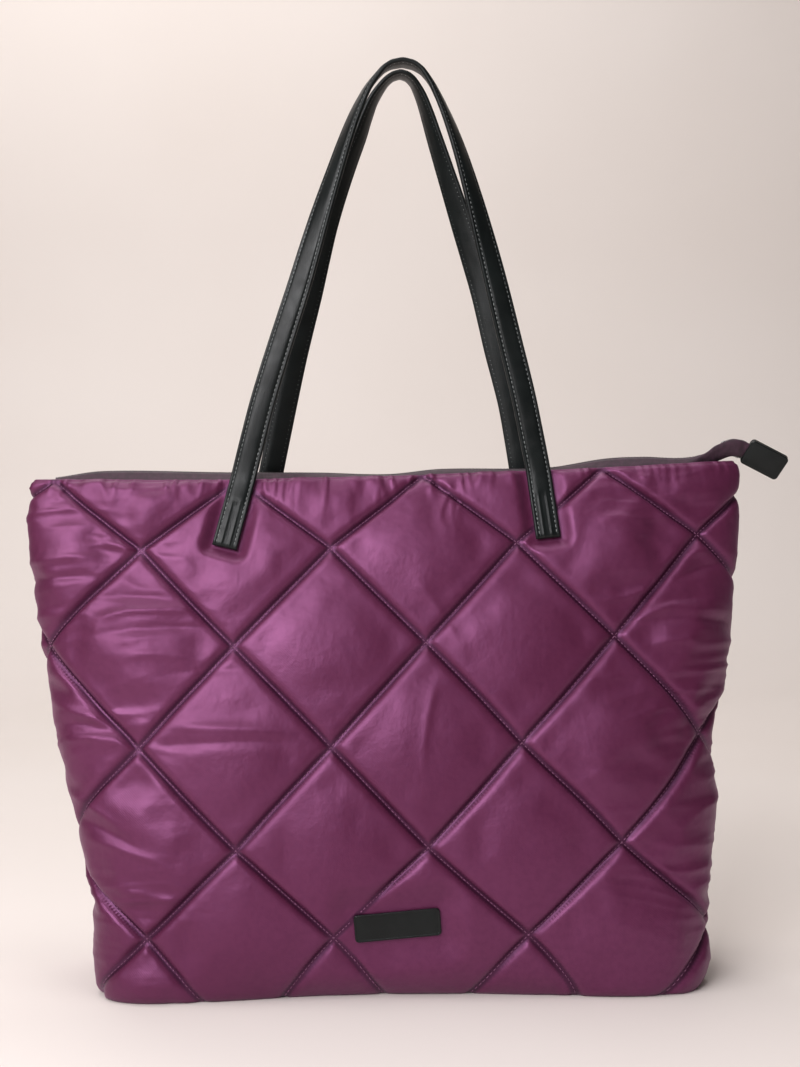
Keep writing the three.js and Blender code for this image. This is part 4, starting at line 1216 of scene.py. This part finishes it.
LOOP_FOOT = 2.6 * MM
LOOP_HEAD = 1.5 * MM
LOOP_LIFT = 0.3 * MM
LOOP_RADIUS = 0.78 * MM
LOOPS_BEFORE_SLIDER = 0.05


def zip_teeth(name):
    """Two rows of coil loops whose heads meet over the ridge."""
    end = SEAM_END + (SLIDER_OUT - LOOPS_BEFORE_SLIDER) * END_TAB_LENGTH
    starts, ends, normals = [], [], []
    for side, phase in ((-1, 0.0), (1, 0.5)):
        x = np.arange(ZIP_START + phase * TEETH_PITCH, end, TEETH_PITCH)
        middle, across, up, _ = teeth_frames(x)
        starts.append(middle + across * side * LOOP_FOOT + up * LOOP_LIFT)
        ends.append(middle - across * side * LOOP_HEAD + up * LOOP_LIFT)
        normals.append(up)
    return stitches_mesh(name, *(np.concatenate(a) for a in (starts, ends, normals)), LOOP_RADIUS)


def tail_frame(out, ahead):
    """Origin and the directions along, across and out of the slider's side of the tail."""
    along = unit(tail_point(ahead) - tail_point(out))
    facing = unit(np.cross(along, TAIL_BACKWARDS))
    return tail_point(out), along, np.cross(facing, along), facing


def rounded_outline(length, width, radius, per_corner):
    """Points round a rectangle with round corners, in its own plane."""
    points = []
    for n, (sx, sy) in enumerate(((1, 1), (-1, 1), (-1, -1), (1, -1))):
        for k in range(per_corner + 1):
            a = (n + k / per_corner) * math.pi / 2
            x = sx * (length / 2 - radius) + radius * math.cos(a)
            y = sy * (width / 2 - radius) + radius * math.sin(a)
            points.append((x, y))
    return np.array(points)


SMALLEST_CORNER = 0.2 * MM


def slab(name, length, width, radius, rings, place, per_corner=8):
    """Closed slab of stacked outlines: each ring has an inset and a height, and place sets the points of
    its own plane into the scene."""
    outlines = []
    for inset, height in rings:
        corner = max(radius - inset, SMALLEST_CORNER)
        shape = rounded_outline(length - 2 * inset, width - 2 * inset, corner, per_corner)
        outlines.append(place(shape, height))
    return ribbon(name, outlines)


def set_in(centre, along, across, facing):
    """Function that sets the points of a plane at a height into the scene."""

    def place(shape, height):
        return centre + shape[:, :1] * along + shape[:, 1:] * across + facing * height

    return place


# The end tab's rings on its front half, from the middle of its edge: inset and depth under the face
END_TAB_CORNER = 2.6 * MM
END_TAB_MIDDLE = [(0.3 * MM, 0), (0, 0.25 * MM)]
END_TAB_RINGS = [
    (0, 0.5 * MM),
    (0.35 * MM, 0.1 * MM),
    (1.1 * MM, 0),
    (1.5 * MM, 0.15 * MM),
    (1.9 * MM, 0),
    (8 * MM, 0),
]


def zip_end_tab(name):
    """Leather folded over the end of the tail, with a groove along its edge on both faces."""
    origin, along, across, facing = tail_frame(END_TAB_OUT, TAIL_LINE[-1][0])
    centre = origin + along * END_TAB_LENGTH / 2
    t = END_TAB_THICKNESS / 2
    front = END_TAB_MIDDLE + [(inset, t - depth) for inset, depth in END_TAB_RINGS]
    back = [(inset, -height) for inset, height in front[:0:-1]]
    place = set_in(centre, along, across, facing)
    return slab(name, END_TAB_LENGTH, END_TAB_WIDTH, END_TAB_CORNER, back + front, place)


# The slider's blocks in millimetres: shift along the tail, height of the middle, length, width,
# thickness and corner radius. The plates clear the coil, and the bridge stands on the front plate.
SLIDER_CLEAR = 1.5
SLIDER_PLATE = 1.2
BRIDGE_HEIGHT = 2.0
POST_SHIFT = 3.75
POST_SIZE = (1.1, 1.6, BRIDGE_HEIGHT + SLIDER_PLATE, 0.4)
SLIDER_FACE = SLIDER_CLEAR + SLIDER_PLATE
SLIDER_BLOCKS = [
    (0, SLIDER_CLEAR + SLIDER_PLATE / 2, 9.5, 8.5, SLIDER_PLATE, 2.2),
    (0, -SLIDER_CLEAR - SLIDER_PLATE / 2, 9.5, 8.5, SLIDER_PLATE, 2.2),
    (2.4, 0, 2.8, 2.3, 2 * SLIDER_CLEAR + SLIDER_PLATE, 0.6),
    (-POST_SHIFT, SLIDER_FACE + BRIDGE_HEIGHT / 2, *POST_SIZE),
    (POST_SHIFT, SLIDER_FACE + BRIDGE_HEIGHT / 2, *POST_SIZE),
    (0, SLIDER_FACE + BRIDGE_HEIGHT + 0.55, 8.6, 1.6, 1.1, 0.5),
]
BLOCK_BEVEL = 0.3 * MM


def bevelled_rings(thick):
    """Rings of a block's edge with a bevel at both faces."""
    t = thick / 2
    b = min(BLOCK_BEVEL, t / 2)
    low = [(b, -t), (b * 0.3, -t + b * 0.3), (0, -t + b)]
    return low + [(inset, -height) for inset, height in low[::-1]]


def zip_slider(name):
    """Two plates, the post between them and the bridge for the pull, as bevelled blocks."""
    origin, along, across, facing = tail_frame(SLIDER_OUT, SLIDER_OUT + 0.01)
    parts = []
    for block in SLIDER_BLOCKS:
        shift, height, length, width, thick, radius = (value * MM for value in block)
        place = set_in(origin + along * shift + facing * height, along, across, facing)
        parts.append(slab(name, length, width, radius, bevelled_rings(thick), place, 4))
    return joined(name, parts)


PULL_SIDES = 12
PULL_HALF_STEPS = 16


def zip_pull(name):
    """Flat oval wire loop through the slider's bridge, swung down to the tail's lower edge."""
    origin, ahead, down, facing = tail_frame(SLIDER_OUT, SLIDER_OUT + 0.01)
    along = ahead * math.cos(PULL_SWING) + down * math.sin(PULL_SWING)
    across = down * math.cos(PULL_SWING) - ahead * math.sin(PULL_SWING)
    wire, length, width = PULL_WIRE, PULL_LENGTH, PULL_WIDTH
    height = SLIDER_CLEAR * MM + SLIDER_PLATE * MM + GAP + wire / 2
    path = []
    for end in (0, 1):
        for k in range(PULL_HALF_STEPS + 1):
            a = math.pi / 2 + math.pi * end + math.pi * k / PULL_HALF_STEPS
            x = width / 2 + end * (length - width) + width / 2 * math.cos(a)
            path.append(origin + along * x + across * width / 2 * math.sin(a) + facing * height)
    path = np.array(path)
    direction = unit(np.roll(path, -1, 0) - np.roll(path, 1, 0))
    side = unit(np.cross(direction, facing))
    vertices = []
    for k in range(PULL_SIDES):
        a = 2 * math.pi * k / PULL_SIDES
        vertices.append(path + (side * math.cos(a) + facing * math.sin(a)) * wire / 2)
    vertices = np.stack(vertices, axis=1).reshape(-1, 3)
    faces = ring_faces(len(path), PULL_SIDES, closed=True)
    return face_outwards(mesh_object(name, vertices, faces))


def joined(name, parts):
    with bpy.context.temp_override(active_object=parts[0], selected_editable_objects=parts):
        bpy.ops.object.join()
    parts[0].name = name
    return parts[0]


# The patch's rings from its back to its middle: inset, and depth under its highest face
PATCH_CORNER = 2.4 * MM
PATCH_BEND = 0.4 * MM
PATCH_BACK_RINGS = [(8 * MM, 0), (0.4 * MM, 0), (0, 0.3 * MM)]
PATCH_FACE_RINGS = [
    (0, 0.35 * MM),
    (0.35 * MM, 0),
    (0.9 * MM, 0),
    (1.25 * MM, 0.3 * MM),
    (1.6 * MM, 0.35 * MM),
    (2.4 * MM, 0.2 * MM),
    (8 * MM, 0.15 * MM),
]


def label_patch(name):
    """Blank leather patch with a raised edge, following the front panel."""
    centre, normal = wall_point(PATCH_SIDE_SHIFT, PATCH_CENTRE_HEIGHT)
    right = np.array([math.cos(PATCH_TILT), 0, math.sin(PATCH_TILT)])
    right = unit(right - normal * (right @ normal))
    up = np.cross(normal, right)
    if up[2] < 0:
        up = -up
    base = WALL / 2 + SEWN_LIFT
    face = [(inset, PATCH_THICKNESS - depth) for inset, depth in PATCH_FACE_RINGS]

    def place(shape, height):
        curve = -((shape[:, :1] / (PATCH_WIDTH / 2)) ** 2) * PATCH_BEND
        return centre + shape[:, :1] * right + shape[:, 1:] * up + normal * (base + height + curve)

    return slab(name, PATCH_WIDTH, PATCH_HEIGHT, PATCH_CORNER, PATCH_BACK_RINGS + face, place)


# Materials
def new_material(name, rgb, roughness, metallic=0.0):
    material = bpy.data.materials.new(name)
    material.use_nodes = True
    shader = material.node_tree.nodes["Principled BSDF"]
    shader.inputs["Base Color"].default_value = (*rgb, 1)
    shader.inputs["Roughness"].default_value = roughness
    shader.inputs["Metallic"].default_value = metallic
    return material, material.node_tree, shader


def add(tree, kind, links=(), **settings):
    """A node with its settings and its input links: each link is (source socket, input name)."""
    node = tree.nodes.new(kind)
    for key, value in settings.items():
        if key.startswith("in_"):
            node.inputs[key[3:].replace("_", " ")].default_value = value
        else:
            setattr(node, key, value)
    for source, target in links:
        tree.links.new(source, node.inputs[target])
    return node


def noise(tree, vector, scale, detail=3.0, roughness=0.5):
    node = add(tree, "ShaderNodeTexNoise", [(vector, "Vector")], in_Scale=scale, in_Detail=detail)
    node.inputs["Roughness"].default_value = roughness
    return node.outputs["Fac"]


def ramp(tree, source, low, high, low_value, high_value):
    node = add(tree, "ShaderNodeMapRange", [(source, "Value")])
    sockets = ("From Min", "From Max", "To Min", "To Max")
    for socket, value in zip(sockets, (low, high, low_value, high_value)):
        node.inputs[socket].default_value = value
    return node.outputs["Result"]


def mixed_colour(tree, factor, first, second):
    node = add(tree, "ShaderNodeMix", data_type="RGBA")
    tree.links.new(factor, node.inputs["Factor"])
    for socket, value in (("A", first), ("B", second)):
        target = [s for s in node.inputs if s.name == socket and s.type == "RGBA"][0]
        if isinstance(value, tuple):
            target.default_value = (*value, 1)
        else:
            tree.links.new(value, target)
    return [s for s in node.outputs if s.type == "RGBA"][0]


def bumped(tree, shader, height, strength, distance, below=None):
    node = add(tree, "ShaderNodeBump", [(height, "Height")], in_Strength=strength, in_Distance=distance)
    if below is not None:
        tree.links.new(below, node.inputs["Normal"])
    tree.links.new(node.outputs["Normal"], shader.inputs["Normal"])
    return node.outputs["Normal"]


def nylon_material():
    """Plum satin: fine twill, a soft coloured shine, and shade painted darker along the quilt channels."""
    material, tree, shader = new_material("satin_nylon", (0.075, 0.010, 0.04), 0.45)
    cloth = add(tree, "ShaderNodeUVMap", uv_map="cloth").outputs["UV"]
    place = add(tree, "ShaderNodeTexCoord").outputs["Object"]
    channel = add(tree, "ShaderNodeAttribute", attribute_name="channel").outputs["Fac"]
    patches = ramp(tree, noise(tree, place, 7.0, 3), 0.35, 0.65, 0, 1)
    colour = mixed_colour(tree, patches, (0.068, 0.009, 0.030), (0.086, 0.015, 0.044))
    streaks = ramp(tree, noise(tree, place, 260.0, 2), 0.4, 0.7, 0.0, 0.35)
    colour = mixed_colour(tree, streaks, colour, (0.046, 0.004, 0.021))
    # Painted shade: the colour turns near black along the quilt channels
    colour = mixed_colour(tree, ramp(tree, channel, 0.15, 0.75, 0.0, 1.0), colour, (0.016, 0.001, 0.007))
    tree.links.new(colour, shader.inputs["Base Color"])
    rough = ramp(tree, noise(tree, place, 30.0, 4), 0.3, 0.7, 0.4, 0.5)
    tree.links.new(rough, shader.inputs["Roughness"])
    shader.inputs["Sheen Weight"].default_value = 0.12
    shader.inputs["Sheen Roughness"].default_value = 0.4
    shader.inputs["Sheen Tint"].default_value = (0.9, 0.35, 0.75, 1)
    shader.inputs["Specular IOR Level"].default_value = 0.92
    shader.inputs["Specular Tint"].default_value = (1.0, 0.4, 0.85, 1)
    weave = add(tree, "ShaderNodeTexWave", [(cloth, "Vector")], bands_direction="DIAGONAL", in_Scale=420.0)
    weave.inputs["Distortion"].default_value = 0.6
    first = bumped(tree, shader, weave.outputs["Fac"], 0.12, 0.0002)
    crumple = noise(tree, place, 45.0, 6, 0.62)
    bumped(tree, shader, crumple, 0.22, 0.004, first)
    return material


def leather_material():
    """Black leather: fine pebbled grain, cool sheen, faint wear."""
    material, tree, shader = new_material("black_leather", (0.012, 0.014, 0.015), 0.36)
    place = add(tree, "ShaderNodeTexCoord").outputs["Object"]
    tone = ramp(tree, noise(tree, place, 40.0, 4), 0.35, 0.7, 0, 1)
    colour = mixed_colour(tree, tone, (0.003, 0.0045, 0.0045), (0.007, 0.0095, 0.0095))
    tree.links.new(colour, shader.inputs["Base Color"])
    rough = ramp(tree, noise(tree, place, 120.0, 3), 0.3, 0.7, 0.3, 0.44)
    tree.links.new(rough, shader.inputs["Roughness"])
    shader.inputs["Specular IOR Level"].default_value = 0.25
    grain = add(tree, "ShaderNodeTexVoronoi", [(place, "Vector")], in_Scale=1500.0)
    first = bumped(tree, shader, grain.outputs["Distance"], 0.22, 0.0003)
    bumped(tree, shader, noise(tree, place, 160.0, 4), 0.18, 0.0008, first)
    return material


def tape_material():
    """Ribbed woven tape."""
    material, tree, shader = new_material("zip_tape", (0.03, 0.009, 0.021), 0.7)
    cloth = add(tree, "ShaderNodeUVMap", uv_map="cloth").outputs["UV"]
    place = add(tree, "ShaderNodeTexCoord").outputs["Object"]
    tone = ramp(tree, noise(tree, place, 300.0, 3), 0.3, 0.7, 0, 1)
    colour = mixed_colour(tree, tone, (0.022, 0.006, 0.015), (0.045, 0.013, 0.030))
    tree.links.new(colour, shader.inputs["Base Color"])
    shader.inputs["Sheen Weight"].default_value = 0.08
    rib = add(tree, "ShaderNodeTexWave", [(cloth, "Vector")], bands_direction="X", in_Scale=330.0)
    rib.inputs["Distortion"].default_value = 0.4
    bumped(tree, shader, rib.outputs["Fac"], 0.4, 0.0003)
    return material


def plain_material(name, dark, light, rough_low, rough_high, scale, metallic=0.0, bump=0.1):
    """Thread, coil or metal: two tones, uneven roughness and a fine bump."""
    material, tree, shader = new_material(name, dark, rough_low, metallic)
    place = add(tree, "ShaderNodeTexCoord").outputs["Object"]
    grain = noise(tree, place, scale, 3)
    tone = ramp(tree, grain, 0.35, 0.65, 0, 1)
    tree.links.new(mixed_colour(tree, tone, dark, light), shader.inputs["Base Color"])
    tree.links.new(ramp(tree, grain, 0.3, 0.7, rough_low, rough_high), shader.inputs["Roughness"])
    bumped(tree, shader, noise(tree, place, scale * 3, 2), bump, 0.0002)
    return material


def finish_piece(obj, material, replaced=None):
    obj.data.materials.clear()
    obj.data.materials.append(material)
    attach(obj, "root")
    if replaced:
        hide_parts(*replaced)
    return obj


def build_bag():
    nylon = nylon_material()
    leather = leather_material()
    tape = tape_material()
    coil = plain_material("zip_coil", (0.012, 0.004, 0.009), (0.035, 0.013, 0.026), 0.45, 0.6, 500.0)
    metal = plain_material("plated_metal", (0.2, 0.2, 0.2), (0.34, 0.34, 0.33), 0.18, 0.34, 300.0, 1.0, 0.06)
    plum_thread = plain_material("plum_thread", (0.10, 0.025, 0.065), (0.26, 0.09, 0.19), 0.35, 0.5, 900.0)
    # Black thread coloured grey: its grey tones are painted highlights
    black_thread_painted_highlights = plain_material("black_thread_painted_highlights", (0.09, 0.1, 0.1), (0.26, 0.28, 0.28), 0.35, 0.5, 900.0)
    for side, mirrored, legs, seed in (("front", False, FRONT_LEGS, 11), ("back", True, BACK_LEGS, 47)):
        places = sewn_places(legs, not mirrored)
        panel = Panel(places, mirrored, seed)
        body = finish_piece(panel_mesh(f"{side}_quilting", panel), nylon, [f"{side}_panel"])
        stitches = quilt_stitches(f"{side}_quilt_stitches", panel, places)
        finish_piece(stitches, plum_thread)
        strap, frames = handle(f"{side}_strap", legs, mirrored)
        finish_piece(strap, leather, [f"{side}_handle"])
        finish_piece(strap_stitches(f"{side}_strap_stitches", frames), black_thread_painted_highlights)
    for name, side, seed in (("front", -1, 5), ("back", 1, 9)):
        finish_piece(zip_tape(f"tape_{name}", side, seed), tape, [f"zip_tape_{name}"])
    finish_piece(zip_teeth("coil_loops"), coil, ["zip_teeth"])
    finish_piece(zip_end_tab("tail_tab"), leather, ["zip_end_tab"])
    finish_piece(zip_slider("slider"), metal, ["zip_slider"])
    finish_piece(zip_pull("pull_loop"), metal, ["zip_pull"])
    finish_piece(label_patch("blank_patch"), leather, ["label_patch"])


def floor_material():
    material, tree, shader = new_material("pale_floor", (0.78, 0.72, 0.68), 0.75)
    place = add(tree, "ShaderNodeTexCoord").outputs["Object"]
    tone = ramp(tree, noise(tree, place, 1.5, 2), 0.3, 0.7, 0, 1)
    colour = mixed_colour(tree, tone, (0.77, 0.71, 0.67), (0.8, 0.745, 0.71))
    tree.links.new(colour, shader.inputs["Base Color"])
    return material


FLOOR_NEAR = -3.5
FLOOR_FAR = 2.6
FLOOR_HALF_WIDTH = 5.0
WALL_HIGH = 4.5
WALL_BEND = 1.0
WALL_BEND_STEPS = 16


def backdrop():
    """Pale floor that curves up into a wall behind the bag."""
    profile = [(FLOOR_NEAR, 0.0), (FLOOR_FAR - WALL_BEND, 0.0)]
    for k in range(1, WALL_BEND_STEPS + 1):
        a = k / WALL_BEND_STEPS * math.pi / 2
        y = FLOOR_FAR - WALL_BEND + WALL_BEND * math.sin(a)
        profile.append((y, WALL_BEND - WALL_BEND * math.cos(a)))
    profile.append((FLOOR_FAR, WALL_HIGH))
    vertices = [(x, y, z) for y, z in profile for x in (-FLOOR_HALF_WIDTH, FLOOR_HALF_WIDTH)]
    faces = [(2 * i, 2 * i + 1, 2 * i + 3, 2 * i + 2) for i in range(len(profile) - 1)]
    obj = mesh_object("pale_floor", vertices, faces)
    obj.data.materials.append(floor_material())


def area_light(name, place, target, size, power, colour):
    light = bpy.data.lights.new(name, "AREA")
    light.shape = "RECTANGLE"
    light.size, light.size_y = size
    light.energy = power
    light.color = colour
    obj = bpy.data.objects.new(name, light)
    bpy.context.collection.objects.link(obj)
    obj.location = place
    aim(obj, target)


def aim(obj, target):
    direction = np.array(target) - np.array(obj.location)
    obj.rotation_euler = Vector(direction).to_track_quat("-Z", "Y").to_euler()


# Soft area lights: name, place, target, size, power and colour
LIGHTS = [
    ("window", (-0.74, -1.65, 1.1), (0, 0, 0.3), (0.85, 0.85), 28, (1.0, 0.98, 1.0)),
    ("key", (-0.95, -0.75, 1.05), (-0.05, 0, 0.25), (0.7, 0.7), 8, (1.0, 0.97, 0.98)),
    ("fill", (1.7, -1.9, 0.9), (0, 0, 0.25), (1.6, 1.6), 0.4, (1.0, 0.93, 0.88)),
    ("floor_wash", (-0.3, -0.1, 2.6), (0.4, 0.95, 0.5), (2.4, 1.0), 29, (1.0, 0.965, 0.95)),
    ("wall_wash", (-0.6, 1.3, 2.6), (0.2, 2.5, 0.6), (2.8, 1.0), 34, (1.0, 0.965, 0.95)),
]


def lighting():
    for light in LIGHTS:
        area_light(*light)
    world = bpy.context.scene.world or bpy.data.worlds.new("World")
    bpy.context.scene.world = world
    world.use_nodes = True
    background = world.node_tree.nodes["Background"]
    background.inputs["Color"].default_value = (0.95, 0.89, 0.86, 1)
    background.inputs["Strength"].default_value = 0.1
    bpy.context.scene.view_settings.view_transform = "Standard"


# Camera: the photo's frame is 800 by 1067, and its focal length is given in its own pixels
FRAME_HEIGHT_PX = 1067
FOCAL_PX = 1529
CAMERA_DISTANCE = 1.02
CAMERA_HEIGHT = 0.292
CAMERA_SIDE = 0.008
CAMERA_SWING = math.radians(-3.0)


def camera():
    data = bpy.data.cameras.new("camera")
    data.sensor_width = 36
    data.lens = 36 * FOCAL_PX / FRAME_HEIGHT_PX
    obj = bpy.data.objects.new("camera", data)
    bpy.context.collection.objects.link(obj)
    swing = CAMERA_SWING
    obj.location = (
        CAMERA_SIDE * math.cos(swing) + CAMERA_DISTANCE * math.sin(swing),
        -CAMERA_DISTANCE * math.cos(swing),
        CAMERA_HEIGHT,
    )
    obj.rotation_euler = (math.pi / 2, 0, swing)
    bpy.context.scene.camera = obj


camera()
lighting()
backdrop()
build_bag()
